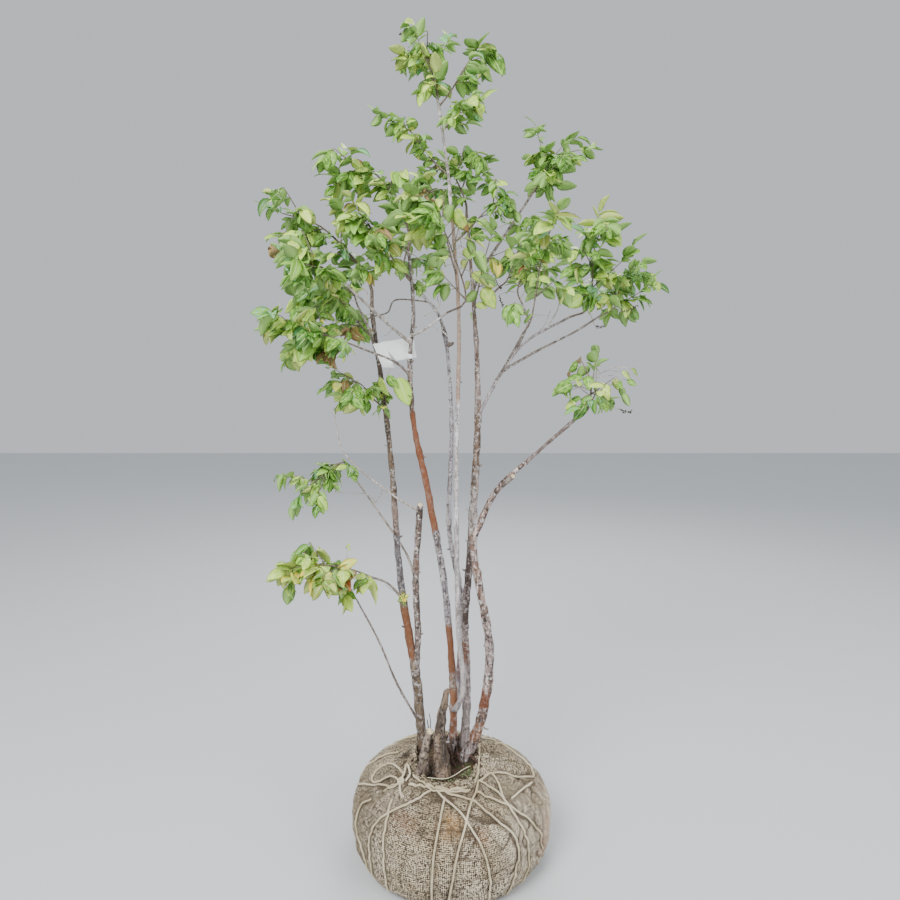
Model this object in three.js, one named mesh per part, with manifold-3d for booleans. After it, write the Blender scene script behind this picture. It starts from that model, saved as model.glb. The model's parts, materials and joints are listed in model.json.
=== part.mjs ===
// A young Vaccinium oldhamii as it leaves the nursery: a clump of grey and
// orange stems on a flat-bottomed root ball that is wrapped in burlap and
// lashed with jute twine. Millimetres, +Z up. The origin is the middle of the
// ball's flat underside, and the side with the lowest left boughs faces -Y.
import * as THREE from 'three';
import { mergeVertices } from 'three/addons/utils/BufferGeometryUtils.js';
import Module from 'manifold-3d';

const wasm = await Module();
wasm.setup();

// Root ball
const ballRadius = 246;
const ballFoot = 198;
const ballWaist = 100;
const ballCrest = 237;
const wrapThickness = 5;
const openingRadius = 112;
const soilLevel = 225;
const seatGap = 0.3;
const ballFacets = 28;
const wrapRows = 6;
const lumps = [
  { waves: 2, size: 0.010, turn: 0.4 },
  { waves: 3, size: 0.012, turn: 2.1 },
  { waves: 5, size: 0.008, turn: 0.9 },
];

// Twine: each lash runs down the ball from one bearing and level to another,
// bearings in degrees from the front towards +X, level 0 at the foot edge and
// 1 at the edge of the opening
const twineRadius = 3;
const lashes = [
  [-24, 0.90, -56, 0.02],
  [-46, 0.88, -36, 0.02],
  [-5, 0.88, -11, 0.02],
  [22, 0.90, -3, 0.02],
  [-9, 0.90, 24, 0.02],
  [10, 0.90, 42, 0.02],
  [30, 0.90, 68, 0.02],
  [52, 0.92, 45, 0.02],
  [-66, 0.88, -84, 0.02],
];
const backLashes = 7;
const twineLift = 4.8;
const twineEnd = 4;
const ringLevel = 0.9;
const ringSteps = 14;
const twineSides = 3;

// Foliage
const leafLength = 80;
const leafWidth = 44;
const leafThickness = 2.4;
const leafWidest = 0.42;
const leafPitch = 28;
const bladeRoom = 4;
const twigFoot = 2.6;
const stemFoot = 4;
const stemBare = 0.28;
const stemTip = 3;
const spaceMargin = 0.025;
const limbClearance = 5;
const goldenTurn = 2.39996;
const tries = 6;
const up = new THREE.Vector3(0, 0, 1);

// A limb thicker than this at its foot is drawn as a stem, a slimmer one as a bough
const boughFoot = 5;

// Stems, from a flat cut on the soil. Way points are axis centres; foot and
// tip are radii, and flare is how much wider the foot of a stem spreads.
const stems = {
  stem_left: {
    way: [[-68, 48, 225], [-86, 46, 424], [-122, 40, 682], [-142, 20, 1003], [-177, -10, 1323]],
    foot: 12, tip: 5, flare: 0.3,
  },
  stump_front: {
    way: [[-66, -52, 225], [-60, -53, 280], [-48, -52, 332]],
    foot: 13, tip: 9, flare: 0.25,
  },
  stump_dark: {
    way: [[-20, -64, 225], [-24, -56, 335], [-9, -36, 424]],
    foot: 16, tip: 12, flare: 0.15,
  },
  stem_centre: {
    way: [[6, 46, 225], [8, 40, 394], [-13, 30, 663], [-48, 20, 877], [-90, -5, 1164], [-82, -30, 1324],
      [-92, -20, 1455]],
    foot: 9.5, tip: 3.4, flare: 0.25,
  },
  stem_back: {
    way: [[4, 88, 225], [32, 100, 560], [-2, 90, 800], [4, 98, 1060], [-17, 110, 1293],
      [-81, 150, 1388]],
    foot: 9, tip: 3.6, flare: 0.3,
  },
  stem_right: {
    way: [[36, 64, 225], [43, 63, 380], [38, 60, 567], [51, 55, 760], [67, 55, 1119], [49, 70, 1436],
      [39, 80, 1549]],
    foot: 10.5, tip: 3.4, flare: 0.3,
  },
  stem_front_right: {
    way: [[34, 6, 225], [74, -10, 333], [95, -20, 523], [56, -30, 766], [72, -35, 842], [113, -50, 927],
      [201, -75, 1016], [284, -98, 1096]],
    foot: 13, tip: 4, flare: 0.3,
  },
};

// Boughs and forks: each starts on the axis of the limb named in from, at that
// share of its length, and is cut clear of it
const boughs = {
  stub_left: {
    from: 'stem_left', at: 0.185, foot: 8, tip: 7.5,
    way: [[-80, 40, 545], [-84, 35, 690], [-72, 35, 867]],
  },
  leader: {
    from: 'stem_centre', at: 0.092, foot: 7, tip: 3,
    way: [[33, 16, 432], [19, 0, 605], [15, 0, 979], [20, 0, 1305], [0, 0, 1582], [-8, 0, 1655],
      [-28, 0, 1788]],
  },
  twig_bare: {
    from: 'stub_left', at: 0.96, foot: 2.6, tip: 1.3,
    way: [[-145, 10, 903], [-241, -30, 1000], [-263, -50, 1108]],
  },
  bough_left_middle: {
    from: 'stub_left', at: 0.57, foot: 3, tip: 2,
    way: [[-112, 62, 745], [-187, 74, 856], [-242, 52, 945]],
  },
  bough_left_foot: {
    from: 'stem_left', at: 0.06, foot: 3.2, tip: 2,
    way: [[-131, 20, 417], [-173, 0, 537], [-220, -15, 641]],
  },
  bough_low_left: {
    from: 'stem_left', at: 0.365, foot: 3.4, tip: 2.4,
    way: [[-150, 16, 676], [-192, -8, 702]],
  },
  bough_left_low: {
    from: 'stem_centre', at: 0.775, foot: 3.2, tip: 2.2,
    way: [[-126, -36, 1212], [-192, -80, 1240]],
  },
  bough_left_front: {
    from: 'stem_centre', at: 0.835, foot: 3.6, tip: 2.4,
    way: [[-137, -52, 1294], [-226, -100, 1379]],
  },
  bough_front: {
    from: 'stem_centre', at: 0.85, foot: 3.2, tip: 2.4,
    way: [[-61, -62, 1279], [-7, -96, 1316]],
  },
  bough_left_back: {
    from: 'stem_left', at: 0.9, foot: 3.4, tip: 2.4,
    way: [[-192, 40, 1290], [-222, 84, 1345]],
  },
  bough_back_left: {
    from: 'stem_back', at: 0.96, foot: 3.2, tip: 2.6,
    way: [[-135, 170, 1362], [-158, 184, 1332], [-199, 202, 1322]],
  },
  bough_back_right: {
    from: 'stem_right', at: 0.84, foot: 3.6, tip: 2.6,
    way: [[84, 112, 1354], [124, 172, 1394]],
  },
  bough_upper_right: {
    from: 'stem_right', at: 0.87, foot: 3.6, tip: 2.6,
    way: [[86, 56, 1440], [140, 42, 1520], [182, 28, 1582]],
  },
  bough_right: {
    from: 'stem_right', at: 0.645, foot: 4.6, tip: 2.8,
    way: [[121, 45, 1183], [179, 30, 1258], [271, -10, 1311]],
  },
  bough_right_up: {
    from: 'bough_right', at: 0.54, foot: 2.8, tip: 2.2,
    way: [[181, 31, 1300], [168, 30, 1341]],
  },
  bough_right_back: {
    from: 'bough_right', at: 0.38, foot: 3.2, tip: 2.4,
    way: [[209, 64, 1236], [299, 86, 1280], [360, 92, 1318]],
  },
  bough_right_front: {
    from: 'bough_right', at: 0.3, foot: 3, tip: 2.2,
    way: [[142, -22, 1232], [158, -84, 1272]],
  },
};

// Masses of foliage: each grows on from the tip of its limb, or from the side
// of it at the share named in at, to the far point of its own stem; reach is
// how far its leaves may stand from that stem, and first is the share of the
// stem that is bare below its first leaf
const masses = {
  foliage_top: {
    limb: 'leader', to: [-56, 0, 1898], rise: 0.1,
    reach: 105, twigs: 5, seed: 11, first: 0.1, tint: 'leafLime',
  },
  foliage_top_right: {
    limb: 'leader', at: 0.985, to: [76, -10, 1884], rise: 0.35,
    reach: 72, twigs: 2, seed: 23, first: 0.6, tint: 'leafLime',
  },
  foliage_top_side: {
    limb: 'leader', at: 0.95, to: [36, -24, 1764], rise: 0.3,
    reach: 80, twigs: 3, seed: 29, first: 0.3,
  },
  foliage_top_left: {
    limb: 'leader', at: 0.885, to: [-135, 10, 1742], rise: 0.4,
    reach: 90, twigs: 3, seed: 37, first: 0.4, tint: 'leafLime',
  },
  foliage_centre_left: {
    limb: 'stem_centre', to: [-244, 0, 1622], rise: 1.1,
    reach: 125, twigs: 5, seed: 31, tint: 'leafLime',
  },
  foliage_far_left: {
    limb: 'stem_left', to: [-378, -10, 1540], rise: 0.5,
    reach: 120, twigs: 5, seed: 47,
  },
  foliage_left_mid: {
    limb: 'stem_centre', at: 0.95, to: [-220, -56, 1530], rise: 0.4,
    reach: 128, twigs: 4, seed: 59, first: 0.45, tint: 'leafLime',
  },
  foliage_left_front: {
    limb: 'bough_left_front', to: [-312, -140, 1420], rise: 0.2,
    reach: 122, twigs: 4, seed: 53,
  },
  foliage_left_low: {
    limb: 'bough_left_low', to: [-348, -112, 1278], rise: 0.2,
    reach: 110, twigs: 5, seed: 61, tint: 'leafLime',
  },
  foliage_left_inner: {
    limb: 'stem_left', at: 0.94, to: [-300, 18, 1388], rise: 0.3,
    reach: 118, twigs: 3, seed: 67, first: 0.6, tint: 'leafLime',
  },
  foliage_left_back: {
    limb: 'bough_left_back', to: [-372, 180, 1390], rise: 0.3,
    reach: 135, twigs: 4, seed: 71,
  },
  foliage_left_tuft: {
    limb: 'stem_left', at: 0.8, to: [-234, -48, 1170], rise: 0.5,
    reach: 98, twigs: 3, seed: 73, first: 0.08, tint: 'leafLime',
  },
  foliage_centre: {
    limb: 'stem_right', to: [-20, 66, 1672], rise: 0.4,
    reach: 130, twigs: 4, seed: 79,
  },
  foliage_centre_front: {
    limb: 'leader', at: 0.735, to: [-40, -100, 1575], rise: 0.2,
    reach: 125, twigs: 4, seed: 83, tint: 'leafLime',
  },
  foliage_centre_right: {
    limb: 'leader', at: 0.785, to: [122, -24, 1572], rise: 0.2,
    reach: 108, twigs: 3, seed: 87,
  },
  foliage_upper_right: {
    limb: 'bough_upper_right', to: [248, 10, 1684], rise: 0.3,
    reach: 104, twigs: 4, seed: 89, first: 0.2,
  },
  foliage_inner: {
    limb: 'stem_right', at: 0.84, to: [86, -60, 1470], rise: 0.2,
    reach: 88, twigs: 2, seed: 97, first: 0.5, tint: 'leafLime',
  },
  foliage_right_up: {
    limb: 'bough_right_up', to: [215, 44, 1484], rise: 0.4,
    reach: 120, twigs: 3, seed: 101,
  },
  foliage_right: {
    limb: 'bough_right', to: [322, -40, 1502], rise: 0.4,
    reach: 122, twigs: 4, seed: 103, tint: 'leafLime',
  },
  foliage_far_right: {
    limb: 'bough_right_back', to: [425, 100, 1425], rise: 0.4,
    reach: 118, twigs: 4, seed: 109,
  },
  foliage_right_low: {
    limb: 'stem_front_right', to: [308, -120, 1190], rise: 0.1,
    reach: 106, twigs: 3, seed: 127, first: 0.3,
  },
  foliage_right_front: {
    limb: 'bough_right_front', to: [200, -186, 1488], rise: 0.3,
    reach: 112, twigs: 4, seed: 131, first: 0.62,
  },
  foliage_front: {
    limb: 'bough_front', to: [-30, -196, 1512], rise: 0.3,
    reach: 112, twigs: 4, seed: 137, first: 0.48,
  },
  foliage_back: {
    limb: 'stem_back', to: [-70, 262, 1622], rise: 0.2,
    reach: 120, twigs: 3, seed: 139, first: 0.5,
  },
  foliage_back_left: {
    limb: 'bough_back_left', to: [-312, 290, 1415], rise: 0.3,
    reach: 135, twigs: 4, seed: 149,
  },
  foliage_back_right: {
    limb: 'bough_back_right', to: [205, 262, 1540], rise: 0.3,
    reach: 108, twigs: 3, seed: 151, first: 0.55,
  },
  foliage_left_middle: {
    limb: 'bough_left_middle', to: [-350, 22, 905], rise: 0.1,
    reach: 105, twigs: 3, seed: 157, first: 0.1,
  },
  foliage_low_left: {
    limb: 'bough_low_left', to: [-356, -72, 744], rise: 0.2,
    reach: 94, twigs: 4, seed: 163, first: 0.05, tint: 'leafBronze',
  },
  foliage_left_foot: {
    limb: 'bough_left_foot', to: [-242, -22, 700], rise: 0.1,
    reach: 60, twigs: 1, seed: 167, first: 0.1, tint: 'leafBronze',
  },
};

// Blank label looped round the centre stem
const labelShare = 0.812;
const labelLength = 78;
const labelHeight = 36;
const labelThickness = 1;
const labelSlack = 1.8;

const colours = {
  burlap: { color: 0xa8957a, roughness: 0.95 },
  soil: { color: 0x4a382a, roughness: 1 },
  twine: { color: 0xd8c8a0, roughness: 0.85 },
  greyBark: { color: 0x8d7f70, roughness: 0.85 },
  paleBark: { color: 0xb3a596, roughness: 0.7 },
  orangeBark: { color: 0xa9673c, roughness: 0.7 },
  darkBark: { color: 0x5a4a40, roughness: 0.9 },
  leafGreen: { color: 0x6d8a3a, roughness: 0.6 },
  leafLime: { color: 0x9aae48, roughness: 0.6 },
  leafBronze: { color: 0x8d7a44, roughness: 0.6 },
  card: { color: 0xe9e7e0, roughness: 0.8 },
};

const plant = new THREE.Group();
plant.name = 'oldham_blueberry';

function addPiece(name, geometry, finish) {
  const material = new THREE.MeshStandardMaterial({ ...finish, metalness: 0, flatShading: true });
  const mesh = new THREE.Mesh(geometry, material);
  mesh.name = name;
  plant.add(mesh);
}

// Solids: plain geometry to a solid and back
function toSolid(geometry) {
  const bare = geometry.clone();
  bare.deleteAttribute('normal');
  bare.deleteAttribute('uv');
  const merged = mergeVertices(bare, 1e-4);
  return new wasm.Manifold(new wasm.Mesh({
    numProp: 3,
    vertProperties: merged.attributes.position.array,
    triVerts: Uint32Array.from(merged.index.array),
  }));
}

function toGeometry(solid) {
  const mesh = solid.getMesh();
  const geometry = new THREE.BufferGeometry();
  geometry.setAttribute('position', new THREE.BufferAttribute(mesh.vertProperties, 3));
  geometry.setIndex(new THREE.BufferAttribute(mesh.triVerts, 1));
  geometry.computeVertexNormals();
  return geometry;
}

// The largest body of a union, so that no loose scrap is kept
function largestBody(solid) {
  return solid.decompose().reduce((best, body) => (body.volume() > best.volume() ? body : best));
}

function seeded(seed) {
  let state = seed;
  const draw = () => {
    state = (Math.imul(state, 1664525) + 1013904223) >>> 0;
    return state / 4294967296;
  };
  draw();
  draw();
  return draw;
}

function vector(point) {
  return new THREE.Vector3(...point);
}

function curveThrough(points) {
  return new THREE.CatmullRomCurve3(points, false, 'catmullrom', 0.5);
}

// A cylinder bent along a curve, with its own radius at each share of it
function bentCylinder(curve, sides, steps, radiusAt) {
  const geometry = new THREE.CylinderGeometry(1, 1, 1, sides, steps);
  const frames = curve.computeFrenetFrames(steps, false);
  const place = geometry.attributes.position;
  for (let i = 0; i < place.count; i += 1) {
    const step = Math.round((0.5 - place.getY(i)) * steps);
    const radius = radiusAt(step / steps);
    const point = curve.getPointAt(step / steps);
    point.addScaledVector(frames.normals[step], place.getX(i) * radius);
    point.addScaledVector(frames.binormals[step], place.getZ(i) * radius);
    place.setXYZ(i, point.x, point.y, point.z);
  }
  return geometry;
}

// Root ball

function lumpAt(bearing) {
  return lumps.reduce((sum, lump) => sum + lump.size * Math.sin(lump.waves * bearing + lump.turn), 1);
}

// Half-section of the ball: up the bulging side from the foot, and over the
// shoulder towards the crest, inset by the depth under the cloth's outside
function ballSection(share, inset) {
  const bulge = 2.4;
  const power = 2 / bulge;
  const sideShare = 0.42;
  const foot = ballFoot - inset;
  const waist = ballRadius - inset;
  if (share < sideShare) {
    const lift = share / sideShare;
    const swell = (1 - (1 - lift) ** bulge) ** (1 / bulge);
    return new THREE.Vector2(foot + (waist - foot) * swell, inset + (ballWaist - inset) * lift);
  }
  const rim = Math.acos((openingRadius / ballRadius) ** (1 / power));
  const angle = rim * (share - sideShare) / (1 - sideShare);
  const crest = ballCrest - inset;
  return new THREE.Vector2(
    waist * Math.cos(angle) ** power,
    ballWaist + (crest - ballWaist) * Math.sin(angle) ** power,
  );
}

function sectionPoints(inset, rows) {
  return Array.from({ length: rows + 1 }, (_, i) => ballSection(i / rows, inset));
}

// Revolves a half-section about the upright axis, then swells it by the lumps
function turned(points) {
  const geometry = new THREE.LatheGeometry(points, ballFacets);
  geometry.rotateX(Math.PI / 2);
  const place = geometry.attributes.position;
  for (let i = 0; i < place.count; i += 1) {
    const swell = lumpAt(Math.atan2(place.getX(i), -place.getY(i)));
    place.setXY(i, place.getX(i) * swell, place.getY(i) * swell);
  }
  return geometry;
}

const wrapOutside = sectionPoints(0, wrapRows);
const wrapInside = sectionPoints(wrapThickness, wrapRows - 1);
addPiece('burlap_wrap', turned([
  new THREE.Vector2(0, 0),
  ...wrapOutside,
  ...wrapInside.reverse(),
  new THREE.Vector2(0, wrapThickness),
]), colours.burlap);

const soilSlope = 14;
const soilSide = sectionPoints(wrapThickness + seatGap, wrapRows - 1)
  .filter((point) => point.y < soilLevel - 1);
const soilEdge = soilSide[soilSide.length - 1].x - soilSlope;
addPiece('soil_ball', turned([
  new THREE.Vector2(0, wrapThickness + seatGap),
  ...soilSide,
  new THREE.Vector2(soilEdge, soilLevel),
  new THREE.Vector2(0, soilLevel),
]), colours.soil);

// Twine, lying on the burlap and knotted into one net

function onBall(bearingDegrees, share, lift) {
  const bearing = THREE.MathUtils.degToRad(bearingDegrees);
  const here = ballSection(share, 0);
  const ahead = ballSection(Math.min(share + 0.02, 1), 0);
  const behind = ballSection(Math.max(share - 0.02, 0), 0);
  const slope = ahead.sub(behind).normalize();
  const reach = here.x * lumpAt(bearing) + slope.y * lift;
  const height = Math.max(here.y - slope.x * lift, twineEnd);
  return new THREE.Vector3(reach * Math.sin(bearing), -reach * Math.cos(bearing), height);
}

function twineRun(points) {
  return toSolid(bentCylinder(curveThrough(points), twineSides, points.length - 1, () => twineRadius));
}

function lashPoints(fromBearing, fromShare, toBearing, toShare) {
  return Array.from({ length: wrapRows + 1 }, (_, i) => {
    const share = THREE.MathUtils.lerp(fromShare, toShare, i / wrapRows);
    const bearing = THREE.MathUtils.lerp(fromBearing, toBearing, i / wrapRows);
    return onBall(bearing, share, twineLift);
  });
}

// The lashes hang from a ring round the opening, made of two overlapping turns
function makeTwine() {
  const runs = lashes.map((lash) => twineRun(lashPoints(...lash)));
  const [, , sideBearing] = lashes[lashes.length - 1];
  const gap = (360 + 2 * sideBearing) / backLashes;
  for (let i = 0; i < backLashes; i += 1) {
    const bearing = (i + 0.5) * gap - sideBearing;
    const lean = i % 2 ? 9 : -9;
    runs.push(twineRun(lashPoints(bearing, ringLevel, bearing + lean, 0.02)));
  }
  for (let half = 0; half < 2; half += 1) {
    const bearings = Array.from({ length: ringSteps + 1 }, (_, i) => half * 180 + 188 * i / ringSteps);
    runs.push(twineRun(bearings.map((bearing) => onBall(bearing, ringLevel - 0.02, twineLift))));
  }
  return largestBody(wasm.Manifold.union(runs));
}

addPiece('twine_lashing', toGeometry(makeTwine()), colours.twine);

// Stems and boughs

function limbRadius(limb, share) {
  const height = share * limb.length;
  const spread = 1 + (limb.flare ?? 0) * Math.exp(-height / 28);
  return THREE.MathUtils.lerp(limb.foot, limb.tip, share) * spread;
}

function limbTube(limb, extra) {
  const steps = Math.max(4, Math.round(limb.length / limb.pitch));
  return bentCylinder(limb.curve, limb.sides, steps, (share) => limbRadius(limb, share) + extra);
}

const limbs = {};

function addLimb(name, limb) {
  const points = limb.way.map(vector);
  if (limb.from) {
    points.unshift(limbs[limb.from].curve.getPointAt(limb.at));
  } else {
    points[0].z = soilLevel + seatGap;
  }
  const record = { ...limb, curve: curveThrough(points) };
  record.length = record.curve.getLength();
  record.sides = limb.foot > boughFoot ? 6 : 5;
  record.pitch = limb.foot > boughFoot ? 85 : 45;
  record.line = record.curve.getSpacedPoints(24);
  limbs[name] = record;
}

Object.entries(stems).forEach(([name, limb]) => addLimb(name, limb));
Object.entries(boughs).forEach(([name, limb]) => addLimb(name, limb));

// A stem's foot is a level cut, whatever its lean
function cutLevel(solid) {
  const block = new THREE.BoxGeometry(900, 900, 400);
  block.translate(0, 0, soilLevel + seatGap - 200);
  return solid.subtract(toSolid(block));
}

const barkOf = {
  stem_left: 'orangeBark',
  stem_centre: 'orangeBark',
  twig_bare: 'orangeBark',
  leader: 'paleBark',
  stump_dark: 'darkBark',
};

Object.entries(limbs).forEach(([name, limb]) => {
  let solid = toSolid(limbTube(limb, 0));
  if (limb.from) {
    solid = largestBody(solid.subtract(toSolid(limbTube(limbs[limb.from], seatGap))));
  } else {
    solid = cutLevel(solid);
  }
  addPiece(name, toGeometry(solid), colours[barkOf[name] ?? 'greyBark']);
});

// Foliage

function distanceToLine(point, line) {
  const nearest = new THREE.Vector3();
  const segment = new THREE.Line3();
  let best = Infinity;
  let share = 0;
  for (let i = 0; i < line.length - 1; i += 1) {
    segment.set(line[i], line[i + 1]);
    const along = segment.closestPointToPointParameter(point, true);
    const distance = segment.at(along, nearest).distanceTo(point);
    if (distance < best) {
      best = distance;
      share = (i + along) / (line.length - 1);
    }
  }
  return { distance: best, share };
}

// Each mass's stem leaves its limb's tip in line, or starts on the axis of the
// limb, and bows upward on its way to the far point
Object.values(masses).forEach((mass) => {
  const limb = limbs[mass.limb];
  const share = mass.at ?? 1;
  const end = vector(mass.to);
  const axis = limb.curve.getPointAt(share);
  const heading = mass.at ? end.clone().sub(axis).normalize() : limb.curve.getTangentAt(1);
  mass.foot = mass.at ? stemFoot : Math.max(limb.tip, stemTip);
  const start = axis.addScaledVector(heading, mass.at ? 0 : seatGap);
  const span = start.distanceTo(end);
  const leave = start.clone().addScaledVector(heading, span * 0.25);
  const knee = leave.clone().lerp(end, 0.5).addScaledVector(up, span * mass.rise * 0.25);
  mass.curve = curveThrough([start, leave, knee, end]);
  mass.length = mass.curve.getLength();
  mass.line = mass.curve.getSpacedPoints(10);
});

function inOwnSpace(point, mass) {
  const own = distanceToLine(point, mass.line).distance / mass.reach;
  return own < 1 && Object.values(masses).every((other) => (
    other === mass || distanceToLine(point, other.line).distance / other.reach > own + spaceMargin
  ));
}

function clearOfLimbs(point) {
  return Object.values(limbs).every((limb) => {
    const near = distanceToLine(point, limb.line);
    return near.distance > limbRadius(limb, near.share) + limbClearance;
  });
}

function allowed(points, mass) {
  return points.every((point) => inOwnSpace(point, mass) && clearOfLimbs(point));
}

// Unit vector square to an axis, turned about it from the level side
function sideways(axis, turn) {
  return new THREE.Vector3().crossVectors(axis, up).normalize().applyAxisAngle(axis, turn);
}

// Twigs wind about the mass's stem, longest near its foot; one that would
// leave the space is turned further round, and left out after a few tries
function growTwigs(mass) {
  const twigs = [{
    curve: mass.curve, length: mass.length, first: mass.first ?? stemBare, last: 0.985,
  }];
  for (let i = 0; i < mass.twigs; i += 1) {
    const random = seeded(mass.seed + 31 * i);
    const share = 0.12 + 0.8 * (i + 0.5) / mass.twigs;
    const foot = mass.curve.getPointAt(share);
    for (let attempt = 0; attempt < tries; attempt += 1) {
      const axis = mass.curve.getTangentAt(share);
      const side = sideways(axis, (i + 0.4 * attempt) * goldenTurn + random() * 0.7);
      const heading = axis.multiplyScalar(0.6).addScaledVector(side, 0.8).addScaledVector(up, 0.12)
        .normalize();
      const length = mass.reach * (0.85 - 0.25 * share) * (0.8 + 0.3 * random());
      const curve = new THREE.LineCurve3(foot, foot.clone().addScaledVector(heading, length));
      if (allowed(curve.getSpacedPoints(5).slice(1), mass)) {
        twigs.push({ curve, length, first: 0.26, last: 0.92 });
        break;
      }
    }
  }
  twigs.forEach((twig) => {
    twig.line = twig.curve.getSpacedPoints(Math.round(twig.length / 8));
  });
  return twigs;
}

// A leaf's frame: its root on the twig, heading to its tip, its face turned up and rolled
function placeLeaf(root, heading, size, roll) {
  const across = new THREE.Vector3().crossVectors(up, heading).normalize().applyAxisAngle(heading, roll);
  const face = new THREE.Vector3().crossVectors(heading, across);
  const length = leafLength * size;
  const width = leafWidth * size;
  const at = (along, aside) => root.clone()
    .addScaledVector(heading, along * length).addScaledVector(across, aside * width);
  const midrib = [0.2, 0.4, 0.6, 0.8, 1].map((along) => at(along, 0));
  const edge = [[0.25, 0.3], [leafWidest, 0.5], [0.62, 0.32], [0.82, 0.15]];
  const rim = edge.flatMap(([along, aside]) => [at(along, aside), at(along, -aside)]);
  return { root, heading, across, face, length, width, rim: [...midrib, ...rim] };
}

// Whether a point lies in a leaf's blade or close to it
function inBlade(leaf, point) {
  const offset = point.clone().sub(leaf.root);
  const along = offset.dot(leaf.heading) / leaf.length;
  const aside = Math.abs(offset.dot(leaf.across)) / (leaf.width / 2);
  const outline = along < leafWidest ? along / leafWidest : (1 - along) / (1 - leafWidest);
  const inOutline = along > 0.12 && along < 1.05 && aside < outline + 0.25;
  return inOutline && Math.abs(offset.dot(leaf.face)) < bladeRoom;
}

function isFree(leaf, leaves, twigs) {
  const crosses = (blade, points) => points.some((point) => inBlade(blade, point));
  return twigs.every((twig) => !crosses(leaf, twig.line))
    && leaves.every((other) => !crosses(other, leaf.rim) && !crosses(leaf, other.rim));
}

// Leaves stand alternately left and right and hang a little, and one ends the
// twig; each is given a few ways to hang before it is left out
function growLeaves(twigs, mass) {
  const leaves = [];
  twigs.forEach((twig, place) => {
    const count = Math.max(2, Math.round(twig.length * (1 - twig.first) / leafPitch) + 1);
    for (let i = 0; i < count; i += 1) {
      const random = seeded(mass.seed + 131 * place + 17 * i);
      const share = THREE.MathUtils.lerp(twig.first, twig.last, i / (count - 1));
      const root = twig.curve.getPointAt(share);
      for (let attempt = 0; attempt < tries; attempt += 1) {
        const heading = leafHeading(twig.curve.getTangentAt(share), i, i === count - 1, random);
        const size = 0.85 + 0.3 * random() - 0.08 * attempt;
        const leaf = placeLeaf(root, heading, size, (random() - 0.5) * 1.6);
        if (isFree(leaf, leaves, twigs) && allowed(leaf.rim, mass)) {
          leaves.push(leaf);
          break;
        }
      }
    }
  });
  return leaves;
}

function leafHeading(axis, order, last, random) {
  const across = new THREE.Vector3().crossVectors(axis, up).normalize();
  const hand = order % 2 ? 1 : -1;
  const spread = last ? 0 : hand * (0.7 + 0.5 * random());
  const droop = 1.1 * random() - 0.15;
  return axis.multiplyScalar(0.5).addScaledVector(across, spread).addScaledVector(up, -droop)
    .normalize();
}

function leafSolid(leaf) {
  const geometry = new THREE.OctahedronGeometry(1);
  const place = geometry.attributes.position;
  for (let i = 0; i < place.count; i += 1) {
    const along = place.getX(i);
    const reach = leaf.length * (along < -0.5 ? 0 : (along > 0.5 ? 1 : leafWidest));
    const point = leaf.root.clone().addScaledVector(leaf.heading, reach);
    point.addScaledVector(leaf.across, place.getY(i) * leaf.width / 2);
    point.addScaledVector(leaf.face, place.getZ(i) * leafThickness / 2);
    place.setXYZ(i, point.x, point.y, point.z);
  }
  return toSolid(geometry);
}

function stemSolid(mass) {
  const radiusAt = (share) => THREE.MathUtils.lerp(mass.foot, stemTip, share);
  return toSolid(bentCylinder(mass.curve, 3, 5, radiusAt));
}

// A twig is a slim three-sided cone
function twigSolid(twig) {
  const geometry = new THREE.ConeGeometry(twigFoot, twig.length, 3);
  geometry.translate(0, twig.length / 2, 0);
  const cone = new THREE.Vector3(0, 1, 0);
  const lie = new THREE.Quaternion().setFromUnitVectors(cone, twig.curve.getTangentAt(0));
  geometry.applyQuaternion(lie);
  const foot = twig.curve.getPointAt(0);
  geometry.translate(foot.x, foot.y, foot.z);
  return toSolid(geometry);
}

Object.entries(masses).forEach(([name, mass]) => {
  const twigs = growTwigs(mass);
  const leaves = growLeaves(twigs, mass);
  const solids = [stemSolid(mass), ...twigs.slice(1).map(twigSolid), ...leaves.map(leafSolid)];
  let solid = wasm.Manifold.union(solids);
  if (mass.at) {
    solid = solid.subtract(toSolid(limbTube(limbs[mass.limb], seatGap)));
  }
  addPiece(name, toGeometry(largestBody(solid)), colours[mass.tint ?? 'leafGreen']);
});

// Label: a loop round the centre stem and a blank tail towards the left stem

function makeLabel() {
  const limb = limbs.stem_centre;
  const hollow = limbRadius(limb, labelShare) + labelSlack;
  const labelLoop = hollow + labelThickness;
  const outline = new THREE.Shape();
  const neck = Math.asin(labelThickness / labelLoop);
  outline.absarc(0, 0, labelLoop, Math.PI + neck, 3 * Math.PI - neck, false);
  outline.lineTo(-labelLength, labelThickness);
  outline.lineTo(-labelLength, -labelThickness);
  const hole = new THREE.Path();
  hole.absarc(0, 0, hollow, 0, 2 * Math.PI, true);
  outline.holes.push(hole);
  const card = { depth: labelHeight, bevelEnabled: false, curveSegments: 6 };
  const geometry = new THREE.ExtrudeGeometry(outline, card);
  geometry.translate(0, 0, -labelHeight / 2);
  const stand = new THREE.Quaternion().setFromUnitVectors(up, limb.curve.getTangentAt(labelShare));
  geometry.applyQuaternion(stand);
  const middle = limb.curve.getPointAt(labelShare);
  geometry.translate(middle.x, middle.y, middle.z);
  return geometry;
}

addPiece('label', makeLabel(), colours.card);

export default plant;
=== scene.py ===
# Oldham blueberry on its burlap root ball. The CAD stems, boughs and masses of
# foliage are dressed with bark, twigs and leaves that grow by the same rule.
import json
import math
import random
import bmesh
import bpy
import numpy as np
from mathutils import Euler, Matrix, Vector, kdtree, noise

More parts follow.
